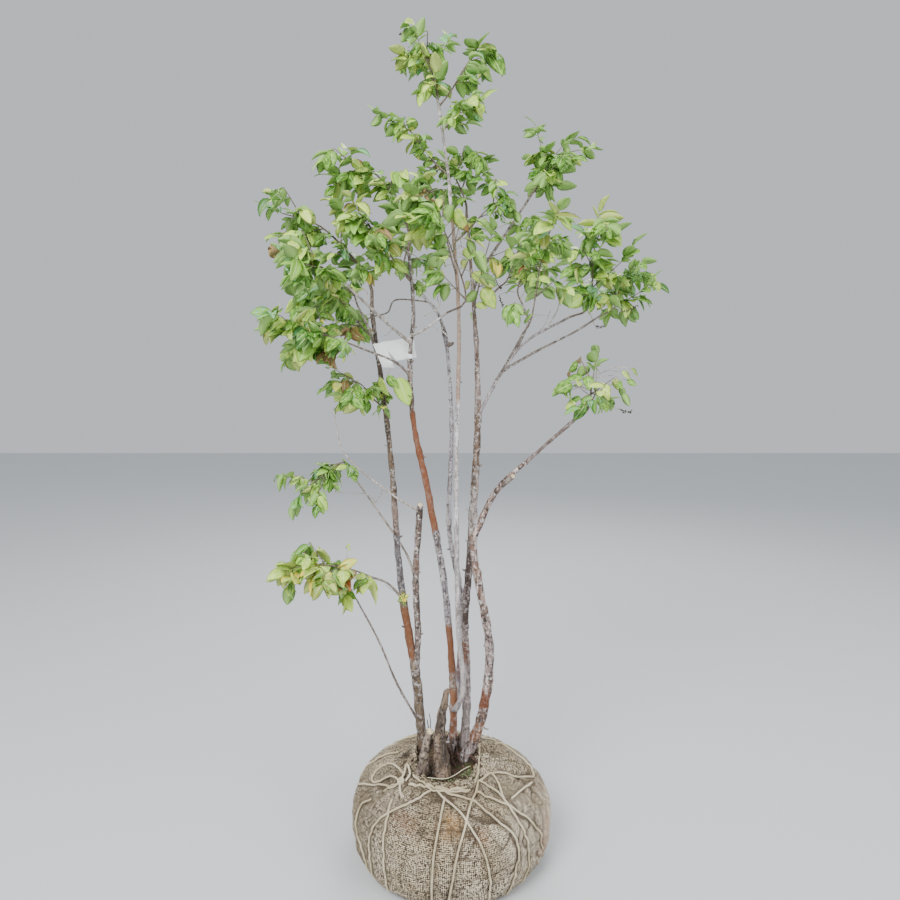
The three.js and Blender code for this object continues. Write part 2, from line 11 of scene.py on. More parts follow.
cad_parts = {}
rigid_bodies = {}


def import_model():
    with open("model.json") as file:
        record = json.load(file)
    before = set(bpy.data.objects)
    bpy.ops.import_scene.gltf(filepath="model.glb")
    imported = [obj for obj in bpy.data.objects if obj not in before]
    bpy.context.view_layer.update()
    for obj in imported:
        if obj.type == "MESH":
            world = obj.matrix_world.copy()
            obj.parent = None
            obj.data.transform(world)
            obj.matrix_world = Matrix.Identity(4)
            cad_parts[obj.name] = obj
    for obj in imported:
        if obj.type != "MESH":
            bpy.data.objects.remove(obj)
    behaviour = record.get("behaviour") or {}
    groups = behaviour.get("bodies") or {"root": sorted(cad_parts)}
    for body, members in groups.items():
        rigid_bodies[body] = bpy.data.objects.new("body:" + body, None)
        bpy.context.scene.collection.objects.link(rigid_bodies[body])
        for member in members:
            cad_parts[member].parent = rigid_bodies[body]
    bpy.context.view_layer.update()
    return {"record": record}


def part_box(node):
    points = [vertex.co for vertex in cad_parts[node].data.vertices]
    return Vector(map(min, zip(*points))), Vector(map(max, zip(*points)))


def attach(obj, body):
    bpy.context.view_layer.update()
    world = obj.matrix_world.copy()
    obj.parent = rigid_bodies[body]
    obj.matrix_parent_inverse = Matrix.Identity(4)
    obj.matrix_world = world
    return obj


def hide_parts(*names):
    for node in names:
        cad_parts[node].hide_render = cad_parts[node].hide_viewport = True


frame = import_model()
mm = 0.001
up = np.array((0.0, 0.0, 1.0))
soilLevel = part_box("soil_ball")[1][2] / mm  # heights and places below are in millimetres
print("frame loaded, soil at", round(soilLevel), "mm")


# Lines, frames and meshes

class Curve:  # smooth line through way points, measured along its length
    def __init__(self, points):
        points = np.array(points, float)
        self.knots = np.vstack((2 * points[0] - points[1], points, 2 * points[-1] - points[-2]))
        self.spans = len(points) - 1
        self.steps = np.linspace(0, 1, 201)
        gaps = np.linalg.norm(np.diff(self.raw(self.steps), axis=0), axis=1)
        self.reach = np.concatenate(([0], np.cumsum(gaps)))
        self.length = self.reach[-1]

    def raw(self, step):
        spot = np.clip(np.asarray(step, float) * self.spans, 0, self.spans)
        left = np.minimum(np.floor(spot).astype(int), self.spans - 1)
        w = (spot - left)[..., None]
        before, start, end, after = (self.knots[left + k] for k in range(4))
        leave, arrive = 0.5 * (end - before), 0.5 * (after - start)
        bend = -3 * start + 3 * end - 2 * leave - arrive
        return start + leave * w + bend * w ** 2 + (2 * start - 2 * end + leave + arrive) * w ** 3

    def stepAt(self, share):
        return np.interp(np.asarray(share, float) * self.length, self.reach, self.steps)

    def at(self, share):
        return self.raw(self.stepAt(share))

    def evenly(self, count):
        return self.at(np.linspace(0, 1, count))

    def heading(self, share):
        step = self.stepAt(share)
        ahead = self.raw(np.minimum(step + 1e-4, 1))
        return unit(ahead - self.raw(np.maximum(step - 1e-4, 0)))


def unit(vector):
    return vector / np.linalg.norm(vector, axis=-1, keepdims=True)


def lerp(a, b, share):
    return a + (b - a) * share


def turned(vector, axis, angle):
    across, along = np.cross(axis, vector), axis * (vector @ axis)[..., None]
    return vector * math.cos(angle) + across * math.sin(angle) + along * (1 - math.cos(angle))


def tilted(heading, roll):  # level direction square to a heading, rolled about it
    return turned(unit(np.cross(up, heading)), heading, roll)


def untwisted(points):  # headings along a line and two square directions that don't wind round it
    headings = unit(np.gradient(points, axis=0))
    side = np.cross(headings[0], (0.31, 0.9, 0.2))
    sides = []
    for heading in headings:
        side = unit(side - heading * side.dot(heading))
        sides.append(side)
    sides = np.array(sides)
    return headings, sides, np.cross(headings, sides)


def ringsAround(points, turns):  # headings along a line, and directions around each of its points
    headings, sideOne, sideTwo = untwisted(points)
    return headings, np.cos(turns)[..., None] * sideOne[:, None] + np.sin(turns)[..., None] * sideTwo[:, None]


def tubeFaces(rows, sides):
    return [(row * sides + k, row * sides + (k + 1) % sides, (row + 1) * sides + (k + 1) % sides,
             (row + 1) * sides + k) for row in range(rows) for k in range(sides)]


def polar(radius, bearing, height):  # places at bearings from the front, in radians
    return np.stack(np.broadcast_arrays(radius * np.sin(bearing), -radius * np.cos(bearing), height), axis=-1)


def outward(bearing):  # level direction at a bearing in degrees
    angle = math.radians(bearing)
    return np.array((math.sin(angle), -math.cos(angle), 0))


def ripple(points, size, shift=0.0):  # smooth noise, about -0.5 to 0.5, in lumps of a size
    spots = np.asarray(points, float).reshape(-1, 3) / size + shift
    values = [noise.noise(Vector(spot)) for spot in spots]
    return np.array(values).reshape(np.shape(points)[:-1])


def bumpAt(value, middle, width):
    return np.exp(-((value - middle) / width) ** 2)


def shaken(spots, reach, size, shifts):  # a line made a little crooked
    return spots + reach * np.stack([ripple(spots, size, shift) for shift in shifts], axis=-1)


def treeOf(points):
    tree = kdtree.KDTree(len(points))
    for index, point in enumerate(points):
        tree.insert(point, index)
    tree.balance()
    return tree


def meshOf(bm, name):
    mesh = bpy.data.meshes.new(name)
    bm.to_mesh(mesh)
    bm.free()
    return mesh


def shapeOf(bm):  # its points, and its faces as rows of their indices
    faces = [[vert.index for vert in face.verts] for face in bm.faces]
    return np.array([vert.co for vert in bm.verts]), faces


def finish(name, shape, materials, slotName, *nodes):
    mesh = shape.mesh(name) if isinstance(shape, Pile) else shape
    piece = bpy.data.objects.new(name, mesh)
    bpy.context.collection.objects.link(piece)
    for material in materials:
        mesh.materials.append(material)
    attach(piece, "root")
    if nodes:
        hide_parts(*nodes)


def gridPlace(vert, rows, columns):  # row and column of a corner of a grid that reaches from -1 to 1
    return round((vert.co.y + 1) / 2 * rows), round((vert.co.x + 1) / 2 * columns)


def rolledGrid(spots, cutRow=None, maps=None):
    # a grid rolled into a tube or a ball: rows of points in millimetres, the last column on the first
    rows, columns = spots.shape[0] - 1, spots.shape[1] - 1
    bm = bmesh.new()
    bmesh.ops.create_grid(bm, x_segments=columns, y_segments=rows, size=1)
    places = {vert: gridPlace(vert, rows, columns) for vert in bm.verts}
    for key, values in (maps or {}).items():
        layer = bm.loops.layers.uv.new(key)
        for face in bm.faces:
            for loop in face.loops:
                loop[layer].uv = values[places[loop.vert]]
    for face in bm.faces:
        face.smooth = True
        low = min(places[vert][0] for vert in face.verts)
        face.material_index = 1 if cutRow is not None and low >= cutRow else 0
    for vert, place in places.items():
        vert.co = spots[place] * mm
    bmesh.ops.remove_doubles(bm, verts=bm.verts, dist=2e-6)
    bmesh.ops.recalc_face_normals(bm, faces=bm.faces)
    return meshOf(bm, "rolled")


class Pile:  # many small shapes joined in one mesh
    def __init__(self):
        self.points = []
        self.faces = []
        self.slots = []
        self.count = 0

    def add(self, points, faces, slots):
        self.points.append(points)
        self.faces.extend([[index + self.count for index in face] for face in faces])
        self.slots.extend(slots)
        self.count += len(points)

    def tube(self, points, radii, sides, slotIndex):  # closed at both ends by a point
        points = np.asarray(points, float)
        headings, ring = ringsAround(points, np.arange(sides) * 2 * math.pi / sides)
        body = points[:, None] + ring * np.asarray(radii)[:, None, None]
        ends = [points[0] - headings[0] * radii[0] * 0.4, points[-1] + headings[-1] * radii[-1] * 0.8]
        last = (len(points) - 1) * sides
        foot, tip = last + sides, last + sides + 1
        faces = tubeFaces(len(points) - 1, sides)
        faces += [((k + 1) % sides, k, foot) for k in range(sides)]
        faces += [(last + k, last + (k + 1) % sides, tip) for k in range(sides)]
        self.add(np.vstack((body.reshape(-1, 3), ends)), faces, [slotIndex] * len(faces))

    def mesh(self, name):
        mesh = bpy.data.meshes.new(name)
        mesh.from_pydata((np.vstack(self.points) * mm).tolist(), [], self.faces)
        mesh.polygons.foreach_set("material_index", self.slots)
        mesh.polygons.foreach_set("use_smooth", [True] * len(self.faces))
        mesh.update()
        return mesh


# Shaders

def tone(code):  # screen colour as a hex word, to linear light
    values = [int(code[k:k + 2], 16) / 255 for k in (0, 2, 4)]
    return (*[v / 12.92 if v <= 0.04045 else ((v + 0.055) / 1.055) ** 2.4 for v in values], 1.0)


class Wire:  # a socket that sums and products can be written with
    def __init__(self, shader, socket):
        self.shader, self.socket = shader, socket

    def maths(self, operation, *values):
        return self.shader.node("ShaderNodeMath", {"operation": operation}, dict(enumerate(values)))

    def __add__(self, other):
        return self.maths("ADD", self, other)

    def __sub__(self, other):
        return self.maths("SUBTRACT", self, other)

    def __rsub__(self, other):
        return self.maths("SUBTRACT", other, self)

    def __mul__(self, other):
        return self.maths("MULTIPLY", self, other)

    def sine(self):
        return self.maths("SINE", self)

    __radd__ = __add__
    __rmul__ = __mul__


class Shader:
    def __init__(self, name):
        self.material = bpy.data.materials.new(name)
        self.material.use_nodes = True
        self.tree = self.material.node_tree
        self.surface = self.tree.nodes["Principled BSDF"]

    def node(self, kind, settings, inputs, output=0):
        node = self.tree.nodes.new(kind)
        for key, value in settings.items():
            setattr(node, key, value)
        self.fill(node, inputs)
        return Wire(self, node.outputs[output])

    def fill(self, node, inputs):  # each socket takes a wire, a hex word or a plain value
        for key, value in inputs.items():
            if isinstance(value, Wire):
                self.tree.links.new(value.socket, node.inputs[key])
            else:
                node.inputs[key].default_value = tone(value) if isinstance(value, str) else value

    def set(self, **inputs):
        self.fill(self.surface, {key.replace("_", " "): value for key, value in inputs.items()})

    def place(self, stretch=(1, 1, 1), output=3):  # object coordinates, or the piece's own map with 2
        spot = self.node("ShaderNodeTexCoord", {}, {}, output)
        return self.node("ShaderNodeMapping", {}, {"Vector": spot, "Scale": stretch})

    def axis(self, vector, index):
        return self.node("ShaderNodeSeparateXYZ", {}, {"Vector": vector}, index)

    def noise(self, vector, scale, detail=3.0, distortion=0.0):
        inputs = {"Vector": vector, "Scale": scale, "Detail": detail, "Distortion": distortion}
        return self.node("ShaderNodeTexNoise", {}, inputs)

    def cells(self, vector, scale):
        return self.node("ShaderNodeTexVoronoi", {}, {"Vector": vector, "Scale": scale})

    def span(self, value, low, high):  # smooth step from 0 at low to 1 at high
        inputs = {"Value": value, "From Min": low, "From Max": high}
        return self.node("ShaderNodeMapRange", {"interpolation_type": "SMOOTHSTEP"}, inputs)

    def patches(self, vector, scale, detail, low, high, distortion=0.0):
        return self.span(self.noise(vector, scale, detail, distortion), low, high)

    def mix(self, share, first, second):
        return self.node("ShaderNodeMix", {"data_type": "RGBA"}, {0: share, 6: first, 7: second}, 2)

    def done(self, colour, roughness, height=None, depth=0.0006, strength=1.0, **inputs):
        self.set(Base_Color=colour, Roughness=roughness, **inputs)
        if height:
            relief = {"Height": height, "Distance": depth, "Strength": strength}
            self.set(Normal=self.node("ShaderNodeBump", {}, relief))
        return self.material


def plain(name, code, roughness, **inputs):
    return Shader(name).done(code, roughness, **inputs)


def grainy(name, dark, light, scale, roughness=0.8, low=0.35, high=0.65, detail=3, twist=0.0, strength=0.6):
    shader = Shader(name)
    grain = shader.noise(shader.place(), scale, detail, twist)
    colour = shader.mix(shader.span(grain, low, high), dark, light)
    return shader.done(colour, roughness, grain, strength=strength)


# Stage: the photograph's view, a pale floor and soft light

stage = {
    "eye": (0, -1.66, 1.235), "downTilt": 7.87, "lens": 28.64,
    "floorSize": 14, "floorTone": "d4d6d8", "skyTone": "e4e9ef", "skyStrength": 0.8,
    "lights": [  # place, aim, size, watts
        ((-1.6, -2.6, 3.6), (0, 0, 1.1), 2.2, 200),
        ((2.4, -1.8, 2.4), (0, 0, 1.0), 2.4, 60),
        ((0.6, 2.6, 3.0), (0, 0, 1.2), 2.4, 60),
    ],
}


def makeStage():
    camera = bpy.data.objects.new("camera", bpy.data.cameras.new("camera"))
    camera.data.lens = stage["lens"]
    camera.location = stage["eye"]
    camera.rotation_euler = Euler((math.radians(90 - stage["downTilt"]), 0, 0))
    bpy.context.collection.objects.link(camera)
    bpy.context.scene.camera = camera
    bm = bmesh.new()
    bmesh.ops.create_grid(bm, x_segments=1, y_segments=1, size=stage["floorSize"] / 2)
    mesh = meshOf(bm, "floor")
    floor = bpy.data.objects.new("floor", mesh)
    bpy.context.collection.objects.link(floor)
    mesh.materials.append(plain("paleFloor", stage["floorTone"], 0.9))
    world = bpy.data.worlds.new("softSky")
    world.use_nodes = True
    sky = world.node_tree.nodes["Background"]
    sky.inputs["Color"].default_value = tone(stage["skyTone"])
    sky.inputs["Strength"].default_value = stage["skyStrength"]
    bpy.context.scene.world = world
    for index, (place, aim, size, watts) in enumerate(stage["lights"]):
        light = bpy.data.lights.new("soft%d" % index, "AREA")
        light.shape = "DISK"
        light.size = size
        light.energy = watts
        lamp = bpy.data.objects.new("soft%d" % index, light)
        lamp.location = place
        lamp.rotation_euler = (Vector(aim) - Vector(place)).to_track_quat("-Z", "Y").to_euler()
        bpy.context.collection.objects.link(lamp)


makeStage()
print("stage set")


# Root ball: burlap over soil, with twine pressed into it

ball = {
    "radius": 246, "foot": 198, "waist": 100, "crest": 237, "opening": 112, "bulge": 2.4, "sideShare": 0.42,
    "lumps": [(2, 0.010, 0.4), (3, 0.012, 2.1), (5, 0.008, 0.9)],  # waves, size, turn
    "columns": 420, "sideRows": 96, "apronRows": 10, "wrap": 3.0,
    "lip": 103, "ragged": 200, "frays": [(9, 28, 2.0), (-4, 9, 8.0)],  # depth, lumps, shift
    "bunch": (5, 14, 34), "puff": 9, "bottomRings": 5,  # least height, room, lumps
    "flaps": [(82, 42, 52, 0), (-92, 20, 24, 14), (-68, 8, 14, 10)],  # bearing, depth, width, lift
    "groove": 3.2, "grooveWidth": 9,
}

folds = {  # how far each stands out or sinks in, in millimetres
    "pleats": 34, "pleatDepth": 4.6, "gatherFrom": 0.5, "tucks": 48, "tuckDepth": 3.0, "tuckAt": 80,
    "tuckWidth": 28, "creaseDepth": 3.6, "swagDepth": 4.2, "wander": 2.0, "fine": 0.9, "calmFoot": 0.08,
}


def ballSection(share, inset=0.0):  # radius and height, from the foot edge at 0 to the opening at 1
    share = np.asarray(share, float)
    power = 2 / ball["bulge"]
    foot, waist = ball["foot"] - inset, ball["radius"] - inset
    lift = np.clip(share / ball["sideShare"], 0, 1)
    swell = (1 - (1 - lift) ** ball["bulge"]) ** (1 / ball["bulge"])
    rim = math.acos((ball["opening"] / ball["radius"]) ** (1 / power))
    angle = rim * np.clip((share - ball["sideShare"]) / (1 - ball["sideShare"]), 0, 1.15)
    low = share < ball["sideShare"]
    radius = np.where(low, foot + (waist - foot) * swell, waist * np.cos(angle) ** power)
    crest = ball["crest"] - inset
    height = np.where(low, inset + (ball["waist"] - inset) * lift,
                      ball["waist"] + (crest - ball["waist"]) * np.sin(angle) ** power)
    return radius, height


def lumpAt(bearing):
    return 1 + sum(size * np.sin(waves * bearing + turn) for waves, size, turn in ball["lumps"])


def degrees(bearing):  # -180 to 180 from the front
    return (np.degrees(bearing) + 180) % 360 - 180


def clothRelief(bearing, share, spots):  # how far the cloth stands out, and how deep in a fold it lies, which sets the painted shade in its folds
    side = degrees(bearing)
    wander = 1.3 * ripple(spots, 90, 3.1)
    gather = np.clip((share - folds["gatherFrom"]) / (1 - folds["gatherFrom"]), 0, 1) ** 1.5
    pleat = np.abs(np.sin(folds["pleats"] / 2 * bearing + 3 * wander)) ** 0.6
    strength = 0.4 + 1.6 * np.clip(ripple(spots, 60, 9.4) + 0.4, 0, 1)
    tuck = bumpAt(side, folds["tuckAt"], folds["tuckWidth"]) * (1 - 0.7 * gather)
    wave = np.sin(folds["tucks"] * bearing + 5 * wander)
    swag = ripple(spots * np.array((1, 1, 3.2)), 46, 17.0)
    patchy = np.clip(2.4 * ripple(spots, 120, 47.0) + 0.6, 0, 1)
    level = bumpAt(ripple(spots * np.array((1, 1, 2.6)), 120, 31.0), 0, 0.032)
    upright = bumpAt(ripple(spots * np.array((1.7, 1.7, 1)), 90, 41.0), 0, 0.03)
    crease = np.maximum(level, 0.8 * upright) * patchy
    relief = folds["pleatDepth"] * gather * (pleat - 0.5) * strength
    relief = relief + folds["tuckDepth"] * tuck * wave - folds["creaseDepth"] * crease
    relief = relief + folds["swagDepth"] * swag + folds["wander"] * wander
    relief = relief + folds["fine"] * ripple(spots, 12, 5.0)
    # painted shade: creases, the hollows between pleats and tucks, and the dips of the swags are darkened
    paintedShade = crease + 1.3 * gather * strength * np.clip(0.6 - pleat, 0, 1) + 0.6 * tuck * np.clip(-wave, 0, 1)
    paintedShade = paintedShade + 0.5 * np.clip(-swag - 0.1, 0, 1)
    return relief * np.clip(share / folds["calmFoot"], 0, 1), paintedShade


def ballSkin(bearing, share, lift=0.0, pressed=True):  # places on the cloth, and how deep in a fold or beside the twine each lies, which sets the painted shade there
    radius, height = ballSection(share)
    ahead, aheadHeight = ballSection(np.minimum(share + 0.02, 1))
    behind, behindHeight = ballSection(np.maximum(share - 0.02, 0))
    rise = unit(np.stack((ahead - behind, aheadHeight - behindHeight), axis=-1))
    radius = radius * lumpAt(bearing)
    bare = polar(radius, bearing, height)
    out, paintedShade = clothRelief(bearing, share, bare)
    press = pressDepth(bare) if pressed else 0 * out
    out = out + lift - ball["groove"] * press
    reach = radius + rise[..., 1] * out
    level = np.maximum(height - rise[..., 0] * out, 0)
    return polar(reach, bearing, level), np.clip(paintedShade + 0.7 * press, 0, 1)


def onCloth(bearing, share, lift=0.0, pressed=True):  # one place, its bearing in degrees
    return ballSkin(np.radians(np.array([bearing])), np.array([share]), lift, pressed)[0][0]


# Each run of twine passes through bearings from the front and levels up the ball
twine = {
    "radius": 2.9, "plies": 3, "core": 0.80, "bulge": 0.22, "layLength": 13, "sides": 9, "step": 2.4,
    "sink": 0.4, "thin": {"bow": 0.95, "hangingLoop": 0.9, "edgeString": 0.75, "string": 0.34},
    "runs": [
        [(-19, 0.97), (-36, 0.81), (-47, 0.67), (-50, 0.5), (-50, 0.29), (-50, 0.02)],
        [(-48, 0.81), (-41, 0.64), (-38, 0.34), (-38, 0.02)],
        [(-5, 0.94), (-8, 0.62), (-9, 0.38), (-10, 0.02)],
        [(36, 1), (17, 0.88), (8, 0.71), (3, 0.53), (0, 0.26), (-1, 0.02)],
        [(-14, 0.97), (5, 0.87), (16, 0.65), (21, 0.34), (21, 0.02)],
        [(-7, 0.98), (19, 0.9), (36, 0.65), (40, 0.47), (37, 0.29), (35, 0.02)],
        [(27, 0.95), (45, 0.77), (57, 0.54), (64, 0.3), (68, 0.02)],
        [(59, 0.99), (46, 0.83), (45, 0.67), (49, 0.35), (47, 0.02)],
        [(39, 1), (45, 0.87), (45, 0.8)],
        [(-64, 0.71), (-69, 0.59), (-66, 0.42), (-58, 0.34), (-54, 0.02)],
        [(-108, 0.94), (-107, 0.73), (-104, 0.4), (-103, 0.02)],
        [(-53, 0.91), (-74, 0.77), (-102, 0.5), (-118, 0.42)],
        [(51, 0.8), (66, 0.79), (81, 0.74)],
        [(-46, 0.94), (-23, 0.98), (-4, 0.99), (20, 1)],
        [(-53, 1), (-32, 0.99), (-13, 0.98), (8, 0.975), (22, 0.97)],
    ],
    "backRuns": 6, "backFrom": 122, "backTo": 222, "backLean": 8,
    "ring": [(34, 1), (63, 0.98), (79, 0.83), (92, 0.72), (120, 0.82), (165, 0.9), (210, 0.9), (242, 0.6)],
    "secondRing": [(-46, 0.95), (-30, 0.97), (-13, 0.965), (4, 0.99), (20, 0.98)],
}


def twineRuns():
    runs = [list(run) for run in twine["runs"]]
    for index in range(twine["backRuns"]):
        bearing = lerp(twine["backFrom"], twine["backTo"], (index + 0.5) / twine["backRuns"])
        lean = twine["backLean"] if index % 2 else -twine["backLean"]
        runs.append([(bearing, 0.89), (bearing + lean * 0.6, 0.5), (bearing + lean, 0.02)])
    return runs + [twine["ring"], twine["secondRing"]]


def runPath(run):  # bearings and levels, close together
    line = Curve([(bearing, share * 100, 0) for bearing, share in run])
    spots = line.evenly(6 * len(run) + 12)
    return np.radians(spots[:, 0]), np.clip(spots[:, 1] / 100, 0.02, 1)


def pressTree():
    points = []
    for run in twineRuns():
        bearing, share = runPath(run)
        radius, height = ballSection(share)
        line = Curve(polar(radius * lumpAt(bearing), bearing, height))
        points.extend(line.evenly(int(line.length / 4)))
    return treeOf(points)


pressedBy = pressTree()


def pressDepth(spots):
    distances = [pressedBy.find(Vector(spot))[2] for spot in spots.reshape(-1, 3)]
    return bumpAt(np.array(distances).reshape(spots.shape[:-1]), 0, ball["grooveWidth"])


# fold is the colour of the painted shade laid into the cloth's folds
weave = {
    "pitch": 0.0041, "light": "f2e5ca", "tired": "cfbd9c", "hole": "1b130d", "fold": "46392c",
    "back": ("8a785f", "a8967a"), "tea": "866a4b", "footShade": "7d6c56", "footShadeTo": (0.055, 0.015),
}

stainsAndPaintedShading = [  # real stains, painted shade and painted light: bearing, level, size in metres, colour, strength
    # painted shadows in this first group: the dark spot at 2° under the orange patch's bulge, the one at 72°
    # under a fold by the crest, and the one at -62° on the lip
    (-37, 0.735, 0.024, "704a30", 0.4), (-31, 0.72, 0.036, "704a30", 0.52),
    (-24, 0.71, 0.028, "704a30", 0.42), (-17, 0.69, 0.022, "2f241b", 0.62),
    (2, 0.76, 0.052, "a8783a", 0.5), (2, 0.70, 0.022, "5f452c", 0.45),
    (18, 0.66, 0.036, "8a5c38", 0.45), (66, 0.28, 0.060, "b5705c", 0.45), (74, 0.45, 0.055, "b5705c", 0.5),
    (-66, 0.17, 0.026, "5a4534", 0.45), (42, 0.88, 0.02, "2c2118", 0.55), (72, 0.97, 0.015, "2c2118", 0.55),
    (70, 0.6, 0.012, "2c2118", 0.5), (-84, 0.3, 0.03, "2c2118", 0.45), (24, 0.93, 0.014, "8a4a34", 0.5),
    (-62, 1.0, 0.03, "33281d", 0.45),
    # painted shade over the ball's left and painted light over its right, with painted shadows in the bow's
    # loop at -69° and on the lip at -100° and 104°, laid over the rest
    (-64, 0.62, 0.11, "51432f", 0.46), (-60, 0.3, 0.09, "51432f", 0.36), (-70, 0.9, 0.08, "51432f", 0.5),
    (-69, 0.87, 0.02, "2c2118", 0.8), (48, 0.5, 0.13, "e9dbc4", 0.36), (84, 0.45, 0.12, "ecdcc4", 0.6),
    (-100, 1.0, 0.032, "231a13", 0.8), (104, 1.0, 0.024, "3a2d22", 0.5),
]


def burlapMaterial():
    shader = Shader("burlap")
    cloth = shader.place(output=2)  # the cloth's own map is in metres
    slub = shader.noise(cloth, 120, 2)
    yarn = 2 * math.pi / weave["pitch"]
    weft = (shader.axis(cloth, 1) * yarn + slub * 8).sine()
    warp = (shader.axis(cloth, 0) * yarn + slub * 7).sine()
    here = shader.place()
    web = weft * 0.44 + warp * 0.44 + (shader.noise(here, 230, 3) - 0.5) * 4.4
    fine = shader.noise(here, 60, 3)
    colour = shader.mix(shader.patches(here, 5.5, 4, 0.38, 0.66, 0.6), *weave["back"])
    colour = shader.mix(shader.patches(here, 9, 5, 0.60, 0.74, 1.2) * 0.55, colour, weave["tea"])
    # painted shade: the cloth darkens towards its foot, below about 55 mm
    footShade = shader.span(shader.axis(here, 2) + fine * 0.03, *weave["footShadeTo"])
    colour = shader.mix(footShade * 0.45, colour, weave["footShade"])
    thread = shader.mix(shader.patches(here, 11, 4, 0.34, 0.66, 0.8), weave["tired"], weave["light"])
    colour = shader.mix(shader.span(web, 0.06, 0.34) * 0.9, colour, thread)
    colour = shader.mix(shader.span(web, -0.1, -0.4) * 0.94, colour, weave["hole"])
    # each soft round patch is a real stain, painted shade, painted light or a painted shadow
    for bearing, share, size, code, strength in stainsAndPaintedShading:
        middle = tuple(onCloth(bearing, share, pressed=False) * mm)
        offset = shader.node("ShaderNodeVectorMath", {"operation": "DISTANCE"}, {0: here, 1: middle}, 1)
        inside = shader.span(offset + fine * size * 0.9, size * 1.35, size * 0.55)
        colour = shader.mix(inside * strength, colour, code)
    # painted shade: the folds map darkens the cloth towards the fold colour in folds, ruffle dips, beside the
    # twine and on the turned-in edge
    folds = shader.node("ShaderNodeUVMap", {"uv_map": "folds"}, {})
    colour = shader.mix(shader.axis(folds, 0) * 0.85, colour, weave["fold"])
    return shader.done(colour, 0.95, web * 0.5 + fine * 0.5, 0.0016, 0.9)


def makeBurlap():
    columns = ball["columns"]
    bearing = np.linspace(-math.pi, math.pi, columns + 1)
    side = degrees(bearing)
    rows, reach, paintedShade = [], [], []
    for ring in range(ball["bottomRings"]):  # the flat underside
        radius = ball["foot"] * ring / ball["bottomRings"]
        rows.append(polar(radius * lumpAt(bearing), bearing, 0))
        reach.append(-ball["foot"] + radius)
        paintedShade.append(0)
    shares = np.linspace(0, 1, ball["sideRows"] + 1)
    grid = np.meshgrid(shares, bearing, indexing="ij")
    sideSpots, sidePaintedShade = ballSkin(grid[1], grid[0])
    radii, heights = ballSection(shares)
    climb = np.concatenate(([0], np.cumsum(np.hypot(np.diff(radii), np.diff(heights)))))
    rows.extend(sideSpots)
    paintedShade.extend(sidePaintedShade)
    reach.extend(climb)
    lip = ball["lip"] - sum(depth * bumpAt(side, at, width) for at, depth, width, _ in ball["flaps"])
    ragged = polar(ball["ragged"], bearing, 0) * (1, -1, 1)
    for depth, size, shift in ball["frays"]:
        lip = lip + depth * ripple(ragged, size, shift)
    least, room, size = ball["bunch"]
    bunch = least + room * np.clip(ripple(ragged, size, 12.0) + 0.15, 0, 1)
    bunch = bunch + sum(lift * bumpAt(side, at, width) for at, _, width, lift in ball["flaps"])
    edge = np.linalg.norm(sideSpots[-1][:, :2], axis=1)
    edgeHeight = sideSpots[-1][:, 2]
    for index in range(1, ball["apronRows"] + 1):  # from the crest in to the ragged lip
        share = index / ball["apronRows"]
        radius = lerp(edge, np.minimum(lip, edge - 3), share)
        ruffle = ripple(ragged * (1 - 0.3 * share), 15, 6.0)
        puff = ball["puff"] * math.sin(math.pi * (0.15 + 0.7 * share))
        rows.append(polar(radius, bearing, lerp(edgeHeight, soilLevel + bunch, share) + puff * ruffle))
        reach.append(climb[-1] + (edge - radius))
        # painted shade in the dips of the ruffled apron
        paintedShade.append(np.clip(-2.2 * ruffle * share, 0, 1))
    rim = np.linalg.norm(rows[-1][:, :2], axis=1)
    for step, drop in ((0, ball["wrap"]), (6, ball["wrap"] + 1), (10, 16)):  # the turned-in edge
        rows.append(polar(rim + step, bearing, rows[-1][:, 2] - drop))
        reach.append(reach[-1] + drop)
        paintedShade.append(0.3)
    rows.append(polar(0, bearing, soilLevel - 30))
    reach.append(reach[-1] + rim)
    paintedShade.append(1)
    reach, paintedShade = ([np.broadcast_to(value, columns + 1) for value in part] for part in (reach, paintedShade))
    around = np.broadcast_to(bearing * ball["radius"], (len(rows), columns + 1))
    maps = {"cloth": np.stack((around, reach), axis=-1) * mm,
            "folds": np.stack((paintedShade, 0 * around), axis=-1)}
    finish("burlap", rolledGrid(np.array(rows), maps=maps), [burlapMaterial()], "burlap", "burlap_wrap")


makeBurlap()
print("burlap gathered")


def twineMaterial():
    shader = Shader("juteTwine")
    here = shader.place()
    strands = shader.noise(here, 420, 3)
    colour = shader.mix(shader.patches(here, 16, 3, 0.35, 0.7), "c6b797", "e3d7bb")
    colour = shader.mix(shader.span(strands, 0.5, 0.72) * 0.5, colour, "a48f66")
    return shader.done(colour, 0.85, strands, strength=0.6)


def threadMaterial():
    shader = Shader("brightThread")
    strands = shader.noise(shader.place(), 500, 2)
    return shader.done(shader.mix(strands, "dfe0b4", "f4f2da"), 0.7)


def laidTwine(pile, points, radius):  # a tube of three plies that wind about each other
    line = Curve(points)
    rows, sides = max(4, int(line.length / twine["step"])), twine["sides"]
    spots = line.evenly(rows + 1)
    turns = np.arange(sides) * 2 * math.pi / sides
    ring = ringsAround(spots, turns)[1]
    wound = np.linspace(0, 1, rows + 1) * line.length / twine["layLength"] * 2 * math.pi
    swell = twine["core"] + twine["bulge"] * np.cos(twine["plies"] * (turns[None] - wound[:, None]))
    body = spots[:, None] + ring * (radius * swell)[..., None]
    ends = [tuple(reversed(range(sides))), tuple(range(rows * sides, (rows + 1) * sides))]
    faces = tubeFaces(rows, sides) + ends
    pile.add(body.reshape(-1, 3), faces, [0] * len(faces))


